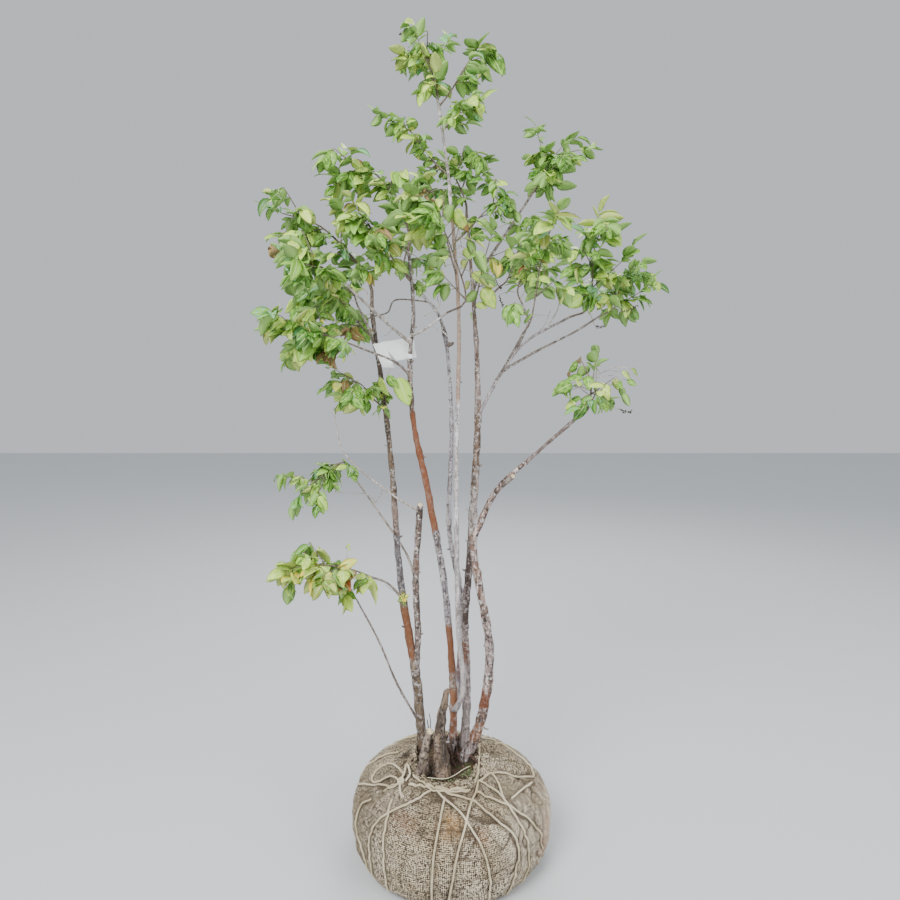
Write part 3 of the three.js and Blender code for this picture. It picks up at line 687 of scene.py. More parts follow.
bow = {  # loops, tails and knot beside the opening: bearing, level and height over the cloth
    "knot": (-53, 0.92, 6), "knotTurns": 3, "knotRadius": 6.5, "knotTwist": 1.1,
    "loops": [
        [(-53, 0.92, 6), (-65, 0.9, 9), (-70, 0.82, 8), (-78, 0.77, 6), (-87, 0.82, 5), (-84, 0.9, 8),
         (-78, 0.94, 9), (-61, 0.96, 8), (-53, 0.92, 7)],
        [(-53, 0.92, 7), (-59, 0.97, 12), (-68, 1.0, 14), (-62, 1.0, 16), (-52, 0.98, 10), (-50, 0.94, 6)],
    ],
    "tails": [
        [(-53, 0.92, 6), (-54, 0.88, 5), (-57, 0.85, 4), (-61, 0.84, 3.5), (-60, 0.81, 3.5)],
        [(-53, 0.92, 6), (-48, 0.89, 6), (-43, 0.86, 3.5), (-39, 0.85, 3.5)],
    ],
    "string": [(-58, -82, 231), (-49, -85, 233), (-31, -90, 234), (-10, -90, 234), (10, -74, 232),
               (31, -52, 233), (48, -34, 231)],
    "edgeString": [(76, 58, 236), (74, 20, 242), (71, -28, 240), (67, -72, 238), (58, -106, 233)],
    "hangingLoop": [(52, 30, 228), (58, 38, 246), (66, 40, 252), (72, 34, 240), (66, 24, 230), (60, 6, 230)],
}


def makeTwine():
    pile, thread = Pile(), Pile()
    radius, thin = twine["radius"], twine["thin"]
    for run in twineRuns():
        spots = ballSkin(*runPath(run), radius - twine["sink"])[0]
        spots[:, 2] = np.maximum(spots[:, 2], radius + 0.5)
        laidTwine(pile, spots, radius)
    for route in bow["loops"] + bow["tails"]:
        line = Curve([(bearing, share * 100, lift) for bearing, share, lift in route])
        bearing, level, lift = line.evenly(8 * len(route)).T
        spots = ballSkin(np.radians(bearing), np.clip(level / 100, 0, 1), lift)[0]
        laidTwine(pile, spots, radius * thin["bow"])
    for name in ("hangingLoop", "edgeString"):
        laidTwine(pile, bow[name], radius * thin[name])
    knot = onCloth(*bow["knot"])
    turns = np.linspace(0, 2 * math.pi, 14)[:, None]
    for index in range(bow["knotTurns"]):
        tilt = turned(unit(np.array((1.0, 0.3, 0.2))), up, index * bow["knotTwist"])
        other = unit(np.cross(tilt, unit(np.array((-0.6, -0.5, 0.7)))))
        ring = knot + bow["knotRadius"] * (np.cos(turns) * tilt + np.sin(turns) * other)
        laidTwine(pile, ring, radius * thin["bow"])
    finish("twine", pile, [twineMaterial()], "twine", "twine_lashing")
    laidTwine(thread, bow["string"], radius * thin["string"])
    finish("brightString", thread, [threadMaterial()], "twine")


makeTwine()
print("twine tied")


soil = {
    "columns": 150, "topRows": 34, "inset": 6.5, "seed": 5, "reach": 104,
    "grains": [  # crumbs, moss, litter: count, sizes, width and height to length
        (420, 1.6, 4.2, 0.7, 0.8), (240, 1.2, 3.2, 1, 0.75), (90, 5, 9, 0.45, 0.12),
    ],
    "cushions": [(43, 10, 70, 9), (2, 20, 90, 6)],  # moss: bearing and its spread, radius and its spread
    "skins": [("soilCrumb", "33271d", "5a4737", 300, 1.0), ("moss", "485233", "7e8a60", 160, 0.95),
              ("litter", "3f2c1e", "86633f", 130, 0.85), ("root", "2a1e18", "5c4338", 170, 0.85)],
    "roots": [  # radius, way points
        (3.4, [(40, 12, 238), (56, -14, 240), (74, -38, 233)]),
        (2.4, [(32, 8, 246), (50, -8, 245), (68, -26, 236)]),
        (2.2, [(-2, 60, 264), (2, 30, 246), (8, -10, 230)]),
        (2.6, [(-2, -22, 272), (4, -24, 246), (14, -30, 228)]),
        (3.2, [(18, -4, 256), (24, -22, 238), (38, -46, 228)]),
        (2.2, [(-82, -10, 242), (-92, -22, 238), (-96, -44, 232)]),
        (1.5, [(-58, 60, 230), (-56, 70, 262), (-60, 84, 288)]),
        (1.2, [(-50, 62, 230), (-50, 70, 268), (-54, 92, 300)]),
        (1.8, [(12, 30, 232), (18, 10, 262), (16, -4, 290)]),
        (2.0, [(60, 26, 232), (70, 0, 244), (76, -22, 232)]),
    ],
}


def soilMaterial():
    shader = Shader("moistSoil")
    here = shader.place()
    grain = shader.noise(here, 210, 5)
    colour = shader.mix(shader.span(grain, 0.35, 0.68), "2c2119", "5c4735")
    colour = shader.mix(shader.patches(here, 26, 4, 0.56, 0.66) * 0.5, colour, "4c5a2c")
    return shader.done(colour, 1.0, grain, 0.004)


def soilHeight(spots):
    return soilLevel - 1.5 + 5 * ripple(spots, 30, 4.0) + 4 * ripple(spots, 9, 1.0)


def makeSoil():
    bearing = np.linspace(-math.pi, math.pi, soil["columns"] + 1)
    radii, heights = ballSection(np.linspace(0, 0.96, 22), soil["inset"])
    rows = [polar(radius * lumpAt(bearing), bearing, height)
            for radius, height in [(0.0, soil["inset"]), *zip(radii, heights)]]
    for radius in np.linspace(min(radii[-1], ball["opening"] + 2), 0, soil["topRows"]):
        spots = polar(radius, bearing, 0 * bearing)
        spots[:, 2] = soilHeight(spots)
        rows.append(spots)
    finish("soil", rolledGrid(np.array(rows)), [soilMaterial()], "soil", "soil_ball")


def pebbleShape():
    bm = bmesh.new()
    bmesh.ops.create_icosphere(bm, subdivisions=1, radius=1)
    shape = shapeOf(bm)
    bm.free()
    return shape


def makeCrumbs():
    draw = random.Random(soil["seed"])
    points, faces = pebbleShape()
    pile = Pile()
    for kind, (count, _, _, width, height) in enumerate(soil["grains"]):
        mossy = kind == 1
        for _ in range(count):
            side, spread, reach, room = draw.choice(soil["cushions"])
            bearing = draw.gauss(side, spread) if mossy else draw.uniform(-180, 180)
            radius = draw.gauss(reach, room) if mossy else ball["opening"] * math.sqrt(draw.random())
            spot = min(radius, soil["reach"]) * outward(bearing)
            spot[2] = soilHeight(spot[None])[0]
            size = [draw.uniform(grain[1], grain[2]) for grain in soil["grains"]][kind]
            dents = 1 + 0.5 * ripple(points, 0.9, spot[0])
            shape = points * dents[:, None] * np.array((size, size * width, size * height))
            pile.add(spot + turned(shape, up, draw.uniform(0, math.pi)), faces, [kind] * len(faces))
    for radius, way in soil["roots"]:
        steps = np.linspace(0, 1, 16)
        spots = shaken(Curve(way).at(steps), 3, 16, (2.0, 7.0, 11.0))
        pile.tube(spots, lerp(radius * 1.3, radius * 0.8, steps), 7, 3)
    finish("soilCrumbs", pile, [grainy(*skin) for skin in soil["skins"]], "soil")


makeSoil()
makeCrumbs()
print("soil filled")


# Stems and boughs, as in the solids

stems = {  # radii at foot and tip, flare of the foot, way points
    "stem_left": (12, 5, 0.3, [(-68, 48, 225), (-86, 46, 424), (-122, 40, 682), (-142, 20, 1003),
                               (-177, -10, 1323)]),
    "stump_front": (13, 9, 0.25, [(-66, -52, 225), (-60, -53, 280), (-48, -52, 332)]),
    "stump_dark": (16, 12, 0.15, [(-20, -64, 225), (-24, -56, 335), (-9, -36, 424)]),
    "stem_centre": (9.5, 3.4, 0.25, [(6, 46, 225), (8, 40, 394), (-13, 30, 663), (-48, 20, 877),
                                     (-90, -5, 1164), (-82, -30, 1324), (-92, -20, 1455)]),
    "stem_back": (9, 3.6, 0.3, [(4, 88, 225), (32, 100, 560), (-2, 90, 800), (4, 98, 1060), (-17, 110, 1293),
                                (-81, 150, 1388)]),
    "stem_right": (10.5, 3.4, 0.3, [(36, 64, 225), (43, 63, 380), (38, 60, 567), (51, 55, 760),
                                    (67, 55, 1119), (49, 70, 1436), (39, 80, 1549)]),
    "stem_front_right": (13, 4, 0.3, [(34, 6, 225), (74, -10, 333), (95, -20, 523), (56, -30, 766),
                                      (72, -35, 842), (113, -50, 927), (201, -75, 1016), (284, -98, 1096)]),
}

boughs = {  # limb it forks from, share of its length, way points, radii at foot and tip
    "stub_left": ("stem_left", 0.185, [(-80, 40, 545), (-84, 35, 690), (-72, 35, 867)], 8, 7.5),
    "leader": ("stem_centre", 0.092, [(22, 28, 362), (33, 16, 425), (19, 0, 605), (15, 0, 979), (20, 0, 1305),
                                      (0, 0, 1582), (-8, 0, 1655), (-28, 0, 1788)], 7, 3),
    "twig_bare": ("stub_left", 0.96, [(-145, 10, 903), (-241, -30, 1000), (-263, -50, 1108)], 2.6, 1.3),
    "bough_left_middle": ("stub_left", 0.57, [(-112, 62, 745), (-187, 74, 856), (-242, 52, 945)], 3, 2),
    "bough_left_foot": ("stem_left", 0.06, [(-131, 20, 417), (-173, 0, 537), (-220, -15, 641)], 3.2, 2),
    "bough_low_left": ("stem_left", 0.365, [(-150, 16, 676), (-192, -8, 702)], 3.4, 2.4),
    "bough_left_low": ("stem_centre", 0.775, [(-126, -36, 1212), (-192, -80, 1240)], 3.2, 2.2),
    "bough_left_front": ("stem_centre", 0.835, [(-137, -52, 1294), (-226, -100, 1379)], 3.6, 2.4),
    "bough_front": ("stem_centre", 0.85, [(-61, -62, 1279), (-7, -96, 1316)], 3.2, 2.4),
    "bough_left_back": ("stem_left", 0.9, [(-192, 40, 1290), (-222, 84, 1345)], 3.4, 2.4),
    "bough_back_left": ("stem_back", 0.96, [(-135, 170, 1362), (-158, 184, 1332), (-199, 202, 1322)],
                        2.2, 1.8),
    "bough_back_right": ("stem_right", 0.84, [(84, 112, 1354), (124, 172, 1394)], 3.6, 2.6),
    "bough_upper_right": ("stem_right", 0.87, [(86, 56, 1440), (140, 42, 1520), (182, 28, 1582)], 3.6, 2.6),
    "bough_right": ("stem_right", 0.645, [(121, 45, 1183), (179, 30, 1258), (271, -10, 1311)], 4.6, 2.8),
    "bough_right_up": ("bough_right", 0.54, [(181, 31, 1300), (168, 30, 1341)], 2.8, 2.2),
    "bough_right_back": ("bough_right", 0.38, [(209, 64, 1236), (299, 86, 1280), (360, 92, 1318)], 3.2, 2.4),
    "bough_right_front": ("bough_right", 0.3, [(142, -22, 1232), (158, -84, 1272)], 3, 2.2),
}


class Limb:
    parts = 24
    flareReach = 28

    def __init__(self, way, foot, tip, flare=0.0, parent=None):
        self.curve = Curve(way)
        self.foot, self.tip, self.flare, self.parent = foot, tip, flare, parent
        self.length = self.curve.length
        self.line = self.curve.evenly(self.parts + 1)

    def radius(self, share):
        spread = 1 + self.flare * np.exp(-np.asarray(share) * self.length / self.flareReach)
        return lerp(self.foot, self.tip, share) * spread


def makeLimbs():
    found = {}
    for name, (foot, tip, flare, way) in stems.items():
        found[name] = Limb([(*way[0][:2], soilLevel + 0.3)] + way[1:], foot, tip, flare)
    for name, (parent, share, way, foot, tip) in boughs.items():
        found[name] = Limb([tuple(found[parent].curve.at(share))] + way, foot, tip, parent=parent)
    return found


limbs = makeLimbs()

bark = {
    "thick": 5, "columns": (12, 22), "ringStep": 5.0, "leastRows": 12, "sunk": 4,
    "collar": (0.45, 7),  # swelling where a bough leaves its parent, and how far it reaches
    "buds": (92, 0.07, 0.05),  # spacing, swelling, width
    "ribs": (0.09, 5, 45),  # depth, count and reach up a flared foot
    "relief": [(0.20, 9, 0, 0.28), (0.10, 3.4, 9, 0.28), (0.16, 26, 5, 1)],  # depth, lumps, shift, stretch
    "cuts": {  # limbs that end in a sawn face: way it climbs, and how steeply
        "stump_dark": (0.6, 0.8, 0.9), "stump_front": (0.1, 1.0, 0.5), "stub_left": (0.0, 1.0, 0.6),
    },
    "cutRows": 8, "cutRings": (0.12, 0.5, 0.8, 1.0),
    "knots": {  # share of the length, swelling, width in millimetres
        "stem_right": [(0.46, 0.24, 12), (0.30, 0.16, 16), (0.64, 0.2, 14), (0.78, 0.18, 10),
                       (0.56, 0.34, 240)],
        "stem_centre": [(0.10, 0.28, 16), (0.46, 0.12, 12), (0.80, 0.25, 9), (0.27, 0.14, 18),
                        (0.6, 0.28, 260)],
        "stem_back": [(0.88, 0.45, 16), (0.5, 0.14, 14)],
        "stem_front_right": [(0.52, 0.24, 14), (0.66, 0.20, 11), (0.76, 0.3, 10), (0.30, 0.12, 20),
                             (0.88, -0.28, 60)],
        "stem_left": [(0.16, 0.18, 14), (0.36, 0.2, 12), (0.62, 0.14, 10), (0.8, 0.16, 8),
                      (0.56, -0.14, 260)],
        "stub_left": [(0.94, 0.16, 12), (0.55, 0.2, 10)],
        "stump_dark": [(0.0, 0.34, 46), (0.45, 0.1, 16), (1.0, -0.34, 70)],
        "stump_front": [(0.0, 0.2, 24), (1.0, -0.08, 26)],
        "leader": [(0.5, 0.1, 8), (0.86, 0.3, 7)],
    },
    "bends": {"stem_centre": (0.67, -6.5, 95)},  # share of the length, shift along X, width
}

# Ground of each bark from dark to light, how much lichen, dark flecks and long pale flakes it carries
barkLooks = {
    "boughs": ("6a5b52", "9a8c84", 0.5, 0.25, 0.4),
    "stem_left": ("5b4c3e", "8c7964", 0.6, 0.85, 0.1),
    "stub_left": ("66544a", "94837a", 0.8, 0.9, 0.2),
    "stem_centre": ("6f635a", "a0979a", 0.9, 0.8, 0.4),
    "leader": ("a89f9b", "e6dfdf", 0.9, 0.4, 0.9),
    "stem_back": ("8f888d", "c8c2c9", 0.9, 0.6, 0.8),
    "stem_right": ("6a574d", "998675", 0.9, 0.7, 0.6),
    "stem_front_right": ("5f473b", "a48b7f", 1.0, 1.0, 1.0),
    "bough_right": ("83797b", "b5abae", 0.6, 0.3, 0.6),
    "bough_left_front": ("8f857d", "c2b8b0", 0.5, 0.3, 0.6),
    "bough_front": ("a0968e", "cfc6bf", 0.5, 0.2, 0.6),
    "stump_front": ("5f5046", "a39280", 0.15, 0.9, 0.2),
    "stump_dark": ("43362a", "846f5a", 0.1, 1.0, 0.1),
    "twig_bare": ("a89c90", "cdc3b8", 0.5, 0.2, 0.5),
    "bough_left_middle": ("9c8f82", "c2b7aa", 0.5, 0.3, 0.4),
}

# Zones of colour up a stem: heights of its ends in metres, tone, strength, how smooth the bark is there
zones = {
    "stem_left": [(0.20, 0.40, "6f5e4c", 0.6, 0.3), (0.468, 0.612, "7c4c2b", 0.94, 0.9),
                  (0.614, 0.65, "847a48", 0.5, 0.2), (0.65, 0.79, "5e5d65", 0.85, 0.25),
                  (0.79, 0.83, "5c3526", 0.8, 0.5), (0.83, 0.88, "947c73", 0.6, 0.4),
                  (0.92, 1.0, "5e4836", 0.5, 0.2), (1.14, 1.4, "51453d", 0.7, 0.0)],
    "stem_centre": [(0.20, 0.262, "58463a", 0.6, 0.1), (0.262, 0.352, "905732", 0.8, 0.55),
                    (0.352, 0.44, "806244", 0.75, 0.6), (0.36, 0.40, "905732", 0.6, 0.5),
                    (0.44, 0.566, "784826", 0.97, 0.95), (0.575, 0.76, "a9a5ad", 0.5, 0.0),
                    (0.80, 1.10, "7e4826", 0.95, 0.9), (1.10, 1.2, "7c5a4a", 0.6, 0.0),
                    (1.21, 1.5, "54453a", 0.6, 0.0)],
    "stem_right": [(0.22, 0.45, "ab9f9f", 0.68, 0.25), (0.46, 0.515, "704331", 0.75, 0.5),
                   (0.515, 0.55, "8d8488", 0.5, 0.0),
                   (0.55, 0.78, "3b2b26", 0.9, 0.6), (0.79, 0.90, "c0b4b2", 0.6, 0.0),
                   (0.94, 1.08, "6c5340", 0.65, 0.2), (1.09, 1.5, "8d716a", 0.6, 0.3)],
    "stem_front_right": [(0.21, 0.27, "a09393", 0.6, 0.1), (0.285, 0.335, "875432", 0.7, 0.45),
                         (0.372, 0.42, "6c3a1d", 0.94, 0.85), (0.46, 0.60, "b3a7ac", 0.2, 0.0),
                         (0.70, 0.80, "8d6a58", 0.55, 0.3), (0.985, 1.10, "63554f", 0.8, 0.75)],
    "leader": [(0.33, 0.60, "aaa2a6", 0.5, 0.3), (1.12, 1.54, "a07f66", 0.85, 0.6),
               (1.6, 1.8, "7d7068", 0.6, 0.2)],
    "stem_back": [(0.40, 0.50, "6f4438", 0.75, 0.6), (1.27, 1.32, "332a26", 0.85, 0.0)],
    "stub_left": [(0.43, 0.50, "7b706c", 0.5, 0.3), (0.70, 0.735, "69432f", 0.5, 0.2),
                  (0.835, 0.90, "3b322c", 0.6, 0.0)],
}


def barkMaterial(name, soft=0.008):
    dark, light, lichen, flecks, flakes = barkLooks.get(name, barkLooks["boughs"])
    shader = Shader("bark_" + name)
    here, fibre = shader.place(), shader.place((1, 1, 0.2))
    strand = shader.noise(fibre, 150, 4, 0.4)
    height = shader.axis(here, 2) + (shader.noise(here, 34, 4) - 0.5) * 0.045
    colour = shader.mix(shader.patches(fibre, 75, 4, 0.36, 0.62), dark, light)
    smooth = 0
    for low, high, code, strength, bare in zones.get(name, []):
        inside = shader.span(height, low - soft, low + soft) * shader.span(height, high + soft, high - soft)
        colour = shader.mix(inside * strength, colour, code)
        smooth = inside * bare + smooth
    rough = 1 - smooth
    patch = shader.patches(here, 92, 3, 0.53, 0.60, 1.0) * rough
    flake = shader.patches(shader.place((1, 1, 0.09)), 115, 3, 0.54, 0.62) * rough
    crack = shader.span(strand, 0.52, 0.6) * (0.3 + 0.5 * flecks) * rough
    ring = shader.patches(shader.place((0.3, 0.3, 1)), 210, 3, 0.60, 0.68) * rough
    spot = shader.patches(here, 150, 2, 0.565, 0.62, 0.6) * rough
    pore = shader.span(shader.cells(fibre, 260), 0.20, 0.10)
    layers = [(patch * lichen, "dad3d0"), (flake * flakes * 0.8, "e0d2ce"), (crack, "3d2f27"),
              (ring * 0.5 * flecks, "43362d"), (spot * flecks * 0.9, "2f2620"), (pore * 0.3, "c9b79f")]
    for share, code in layers:  # lichen and lifted skin, flakes, cracks, rings, dark spots, pores
        colour = shader.mix(share, colour, code)
    relief = strand * 0.6 + shader.noise(fibre, 560, 3) * 0.3 + patch * 0.5 - spot * 0.4
    return shader.done(colour, 0.72, relief, 0.0026)


def cutMaterial(name, pale, ringTone):
    return grainy(name, pale, ringTone, 300, 0.8, 0.4, 0.7, 2, 0.4, 1.0)


def makeLimb(name, limb, materials):
    columns = bark["columns"][limb.foot > bark["thick"]]
    shares = np.linspace(0, 1, max(bark["leastRows"], int(limb.length / bark["ringStep"])) + 1)
    distance = shares * limb.length
    spots = limb.curve.at(shares)
    radii = limb.radius(shares)
    if name in bark["bends"]:
        share, shift, width = bark["bends"][name]
        spots[:, 0] += shift * bumpAt(distance, share * limb.length, width)
    if limb.parent:
        swell, fade = bark["collar"]
        inside = limbs[limb.parent].radius(boughs[name][1])
        radii = radii * (1 + swell * np.exp(-np.maximum(distance - inside, 0) / fade))
    else:
        spots[0, 2] = soilLevel - bark["sunk"]
    for share, swell, width in bark["knots"].get(name, []):
        radii = radii * (1 + swell * bumpAt(distance, share * limb.length, width))
    step, swell, width = bark["buds"]
    radii = radii * (1 + swell * bumpAt((distance / step) % 1, 0.5, width))
    turns = np.linspace(0, 2 * math.pi, columns + 1)
    headings, ring = ringsAround(spots, turns)
    skin = spots[:, None] + ring * radii[:, None, None]
    seed = len(name) * 3.7
    relief = sum(depth * ripple(skin * np.array((1, 1, stretch)), lumps, seed + shift)
                 for depth, lumps, shift, stretch in bark["relief"])
    if limb.flare:
        depth, count, fade = bark["ribs"]
        relief = relief + depth * (np.cos(turns * count + seed)[None] * np.exp(-distance / fade)[:, None])
    relief[:, -1] = relief[:, 0]
    body = list(spots[:, None] + ring * (radii[:, None] * (1 + relief))[..., None])
    centre = np.broadcast_to(spots[-1], body[-1].shape)
    cutRow = None
    if name in bark["cuts"]:
        cutRow = len(body) + 1
        aside, behind, steep = bark["cuts"][name]
        rows = bark["cutRows"]
        for row in range(-rows, 0):
            lean = ((body[row] - centre) @ np.array((aside, behind, 0))) * steep * (row + rows + 1) / rows
            body[row] = body[row] + lean[:, None] * up
        top = body[-1]
        middle = np.broadcast_to(top[:-1].mean(axis=0), top.shape)
        body.extend([lerp(top, middle, share) for share in bark["cutRings"]])
    else:
        tipPoint = centre + headings[-1] * limb.tip * 0.7
        body.extend([lerp(body[-1], tipPoint, 0.5), tipPoint])
    body.insert(0, np.broadcast_to(spots[0], body[0].shape))
    slots = {part["node"]: part["material_slot"] for part in frame["record"]["subparts"]}
    finish(name + "_bark", rolledGrid(np.array(body), cutRow), materials, slots[name], name)


def dressLimbs():
    shared = barkMaterial("boughs")
    fresh, old = cutMaterial("cutWood", "f0e3c0", "c9ab78"), cutMaterial("oldCut", "857261", "5d4b3b")
    for name, limb in limbs.items():
        skin = barkMaterial(name) if name in barkLooks else shared
        cut = old if name == "stump_dark" else fresh
        makeLimb(name, limb, [skin, cut] if name in bark["cuts"] else [skin])


dressLimbs()
print("bark on", len(limbs), "limbs")


# Stubs of old twigs, knobs and cut ends that stand out of the bark: limb, share, bearing, length, radius
spurs = {
    "seed": 17, "perStem": 4, "shortest": 4, "longest": 7, "radius": 2.6,
    "taper": (1.5, 1.25, 1.0, 0.85, 0.75, 0.5),
    "bearers": ["stem_left", "stem_centre", "stem_right", "stem_front_right", "leader", "stem_back",
                "stub_left"],
    "named": [
        ("stem_right", 0.355, -100, 9, 3.2), ("stem_right", 0.47, -95, 8, 3.4),
        ("stem_right", 0.41, 80, 7, 2.6), ("stem_centre", 0.10, -80, 14, 2.0),
        ("stump_dark", 0.42, 75, 10, 3.0), ("stem_front_right", 0.11, 60, 15, 1.8),
        ("stem_back", 0.86, 90, 14, 5.5), ("stem_right", 0.555, 100, 10, 3.6),
        ("stem_left", 0.30, -120, 8, 3.0),
    ],
    "pruned": ((120, -53, 933), (141, -68, 954), 6.2),  # a sawn limb's foot, cut end and radius
}


def makeSpurs():
    draw = random.Random(spurs["seed"])
    pile = Pile()
    chosen = list(spurs["named"])
    for name in spurs["bearers"]:
        for _ in range(spurs["perStem"]):
            share, bearing = draw.uniform(0.12, 0.9), draw.uniform(0, 360)
            length = draw.uniform(spurs["shortest"], spurs["longest"])
            chosen.append((name, share, bearing, length, spurs["radius"] * draw.uniform(0.6, 1.2)))
    for name, share, bearing, length, radius in chosen:
        limb = limbs[name]
        middle, along, side = limb.curve.at(share), limb.curve.heading(share), outward(bearing)
        side = unit(side - along * (side @ along))
        edge = float(limb.radius(share))
        knuckle = middle + side * (edge + length * 0.5)
        points = [middle + side * edge * 0.6, knuckle, knuckle + unit(side + 0.5 * up) * length * 0.5]
        pile.tube(Curve(points).evenly(6), radius * np.array(spurs["taper"]), 7, 0)
    foot, tip, radius = spurs["pruned"]
    foot, tip = np.array(foot, float), np.array(tip, float)
    pile.tube(lerp(foot, tip, np.linspace(0, 1, 6)[:, None]), np.full(6, radius), 12, 0)
    pile.tube(lerp(foot, tip, np.array([[1.0], [1.1]])), np.array((radius * 0.85, radius * 0.8)), 12, 1)
    finish("spurs", pile, [barkMaterial("boughs"), cutMaterial("prunedCut", "e6d7b4", "c3a67a")], "grey_bark")


makeSpurs()
print("spurs set")


# Foliage by region: each mass grows from a limb at a share of its length, or from its tip if that is None

masses = {  # limb, share, far point, rise, reach, twigs, seed, palette, first leaf, leaf size
    "top": {
        # the top masses take the bright palette, painted light on the crown's top
        "top": ("leader", None, (-56, 0, 1898), 0.1, 105, 5, 11, "bright", 0.1, 0.9),
        "top_right": ("leader", 0.985, (76, -10, 1884), 0.35, 72, 2, 23, "turning", 0.6, 1.15),
        "top_side": ("leader", 0.95, (36, -24, 1764), 0.3, 80, 3, 29, "bright", 0.3, 0.85),
        "top_left": ("leader", 0.885, (-135, 10, 1742), 0.4, 90, 3, 37, "bright", 0.4, 0.9),
        "centre": ("stem_right", None, (-20, 66, 1672), 0.4, 130, 4, 79, "green", 0.28, 0.85),
        "centre_front": ("leader", 0.735, (-40, -100, 1575), 0.2, 125, 4, 83, "lime", 0.28, 1.05),
        "centre_right": ("leader", 0.785, (122, -24, 1572), 0.2, 108, 3, 87, "green", 0.28, 0.85),
    },
    "left": {
        "centre_left": ("stem_centre", None, (-244, 0, 1622), 1.1, 125, 5, 31, "lime", 0.28, 1.05),
        "far_left": ("stem_left", None, (-378, -10, 1540), 0.5, 120, 5, 47, "green", 0.28, 0.9),
        "left_mid": ("stem_centre", 0.95, (-220, -56, 1530), 0.4, 128, 4, 59, "lime", 0.45, 1),
        "left_front": ("bough_left_front", None, (-312, -140, 1420), 0.2, 122, 4, 53, "green", 0.28, 1.05),
        "left_inner": ("stem_left", 0.94, (-300, 18, 1388), 0.3, 118, 3, 67, "turning", 0.6, 0.9),
        "left_tuft": ("stem_left", 0.8, (-234, -48, 1170), 0.5, 98, 3, 73, "turning", 0.08, 1.05),
    },
    "low": {
        "left_low": ("bough_left_low", None, (-348, -112, 1278), 0.2, 110, 5, 61, "turning", 0.28, 1.1),
        "left_middle": ("bough_left_middle", None, (-350, 22, 905), 0.1, 105, 3, 157, "green", 0.1, 0.9),
        "low_left": ("bough_low_left", None, (-356, -72, 744), 0.2, 94, 4, 163, "bronze", 0.05, 1.15),
        "left_foot": ("bough_left_foot", None, (-242, -22, 700), 0.1, 60, 1, 167, "bronze", 0.1, 0.9),
        "right_low": ("stem_front_right", None, (308, -120, 1190), 0.1, 106, 3, 127, "green", 0.3, 0.85),
    },
    "right": {
        "upper_right": ("bough_upper_right", None, (248, 10, 1684), 0.3, 104, 4, 89, "olive", 0.2, 0.9),
        "inner": ("stem_right", 0.84, (86, -60, 1470), 0.2, 88, 2, 97, "turning", 0.5, 1.1),
        "right_up": ("bough_right_up", None, (215, 44, 1484), 0.4, 120, 3, 101, "olive", 0.28, 0.9),
        "right": ("bough_right", None, (322, -40, 1502), 0.4, 122, 4, 103, "lime", 0.28, 1.1),
        "far_right": ("bough_right_back", None, (425, 100, 1425), 0.4, 118, 4, 109, "green", 0.28, 0.95),
        "right_front": ("bough_right_front", None, (200, -186, 1488), 0.3, 112, 4, 131, "green", 0.62, 1),
        "front": ("bough_front", None, (-30, -196, 1512), 0.3, 112, 4, 137, "green", 0.48, 1),
    },
    "back": {
        "back": ("stem_back", None, (-70, 262, 1622), 0.2, 120, 3, 139, "shade", 0.5, 0.9),
        "back_left": ("bough_back_left", None, (-312, 290, 1415), 0.3, 135, 4, 149, "shade", 0.28, 1),
        "back_right": ("bough_back_right", None, (205, 262, 1540), 0.3, 108, 3, 151, "shade", 0.55, 0.9),
        "left_back": ("bough_left_back", None, (-372, 180, 1390), 0.3, 135, 4, 71, "shade", 0.28, 1),
    },
}

growth = {
    "bladeLength": 80, "bladeWidth": 44, "pitch": 28, "bladeRoom": 4, "widest": 0.42,
    "gap": 0.3, "sideThick": 2.4, "margin": 0.025, "clearance": 5, "goldenTurn": 2.39996, "tries": 6,
    "mainEnd": 0.985, "sideStart": 0.26, "sideEnd": 0.92,  # where the blades of a line begin and end
    "lowestTwig": 0.12, "twigSpan": 0.8, "branching": (0.6, 0.8, 0.12),  # ahead, aside, up
    "leastUsed": 0.3, "sizes": (0.85, 0.3, 0.08), "roll": 1.6,  # least, room, shrinks by the try
    "ahead": 0.5, "spread": (0.7, 0.5), "droop": (1.1, 0.15),
}


def seeded(seed):  # the solids' own draw, so that twigs and sprays fall in the same places
    state = seed

    def draw():
        nonlocal state
        state = (state * 1664525 + 1013904223) & 0xFFFFFFFF
        return state / 4294967296
    draw()
    draw()
    return draw


def sideways(axis, turn):
    return turned(unit(np.cross(axis, up)), axis, turn)


class Mass:
    def __init__(self, name, limbName, at, to, rise, reach, twigs, seed, palette, first, size):
        self.name, self.reach, self.twigs, self.seed = name, reach, twigs, seed
        self.palette, self.first, self.size = palette, first, size
        limb = limbs[limbName]
        end = np.array(to, float)
        if at is None:
            self.thick, heading = limb.radius(1), limb.curve.heading(1.0)
            start = limb.curve.at(1) + heading * growth["gap"]
        else:
            self.thick, start = growth["sideThick"], limb.curve.at(at)
            heading = unit(end - start)
        span = np.linalg.norm(end - start)
        leave = start + heading * span * 0.25
        knee = lerp(leave, end, 0.5) + up * span * rise * 0.25
        self.curve = Curve([start, leave, knee, end])
        self.length = self.curve.length
        self.line = self.curve.evenly(11)


def segments(kind):  # where the short straight parts of all lines of a kind start, and where each leads
    lines = [item.line for item in kind.values()]
    return np.vstack([line[:-1] for line in lines]), np.vstack([np.diff(line, axis=0) for line in lines])


crowd = {name: Mass(name, *values) for region in masses.values() for name, values in region.items()}
massStarts, massSpans = segments(crowd)
limbStarts, limbSpans = segments(limbs)
massOrder = {name: index for index, name in enumerate(crowd)}
massReach = np.array([mass.reach for mass in crowd.values()])


def lineGaps(points, starts, spans):
    offset = points[:, None] - starts[None]
    along = np.clip((offset * spans).sum(-1) / (spans * spans).sum(-1), 0, 1)
    return np.linalg.norm(offset - along[..., None] * spans[None], axis=-1), along


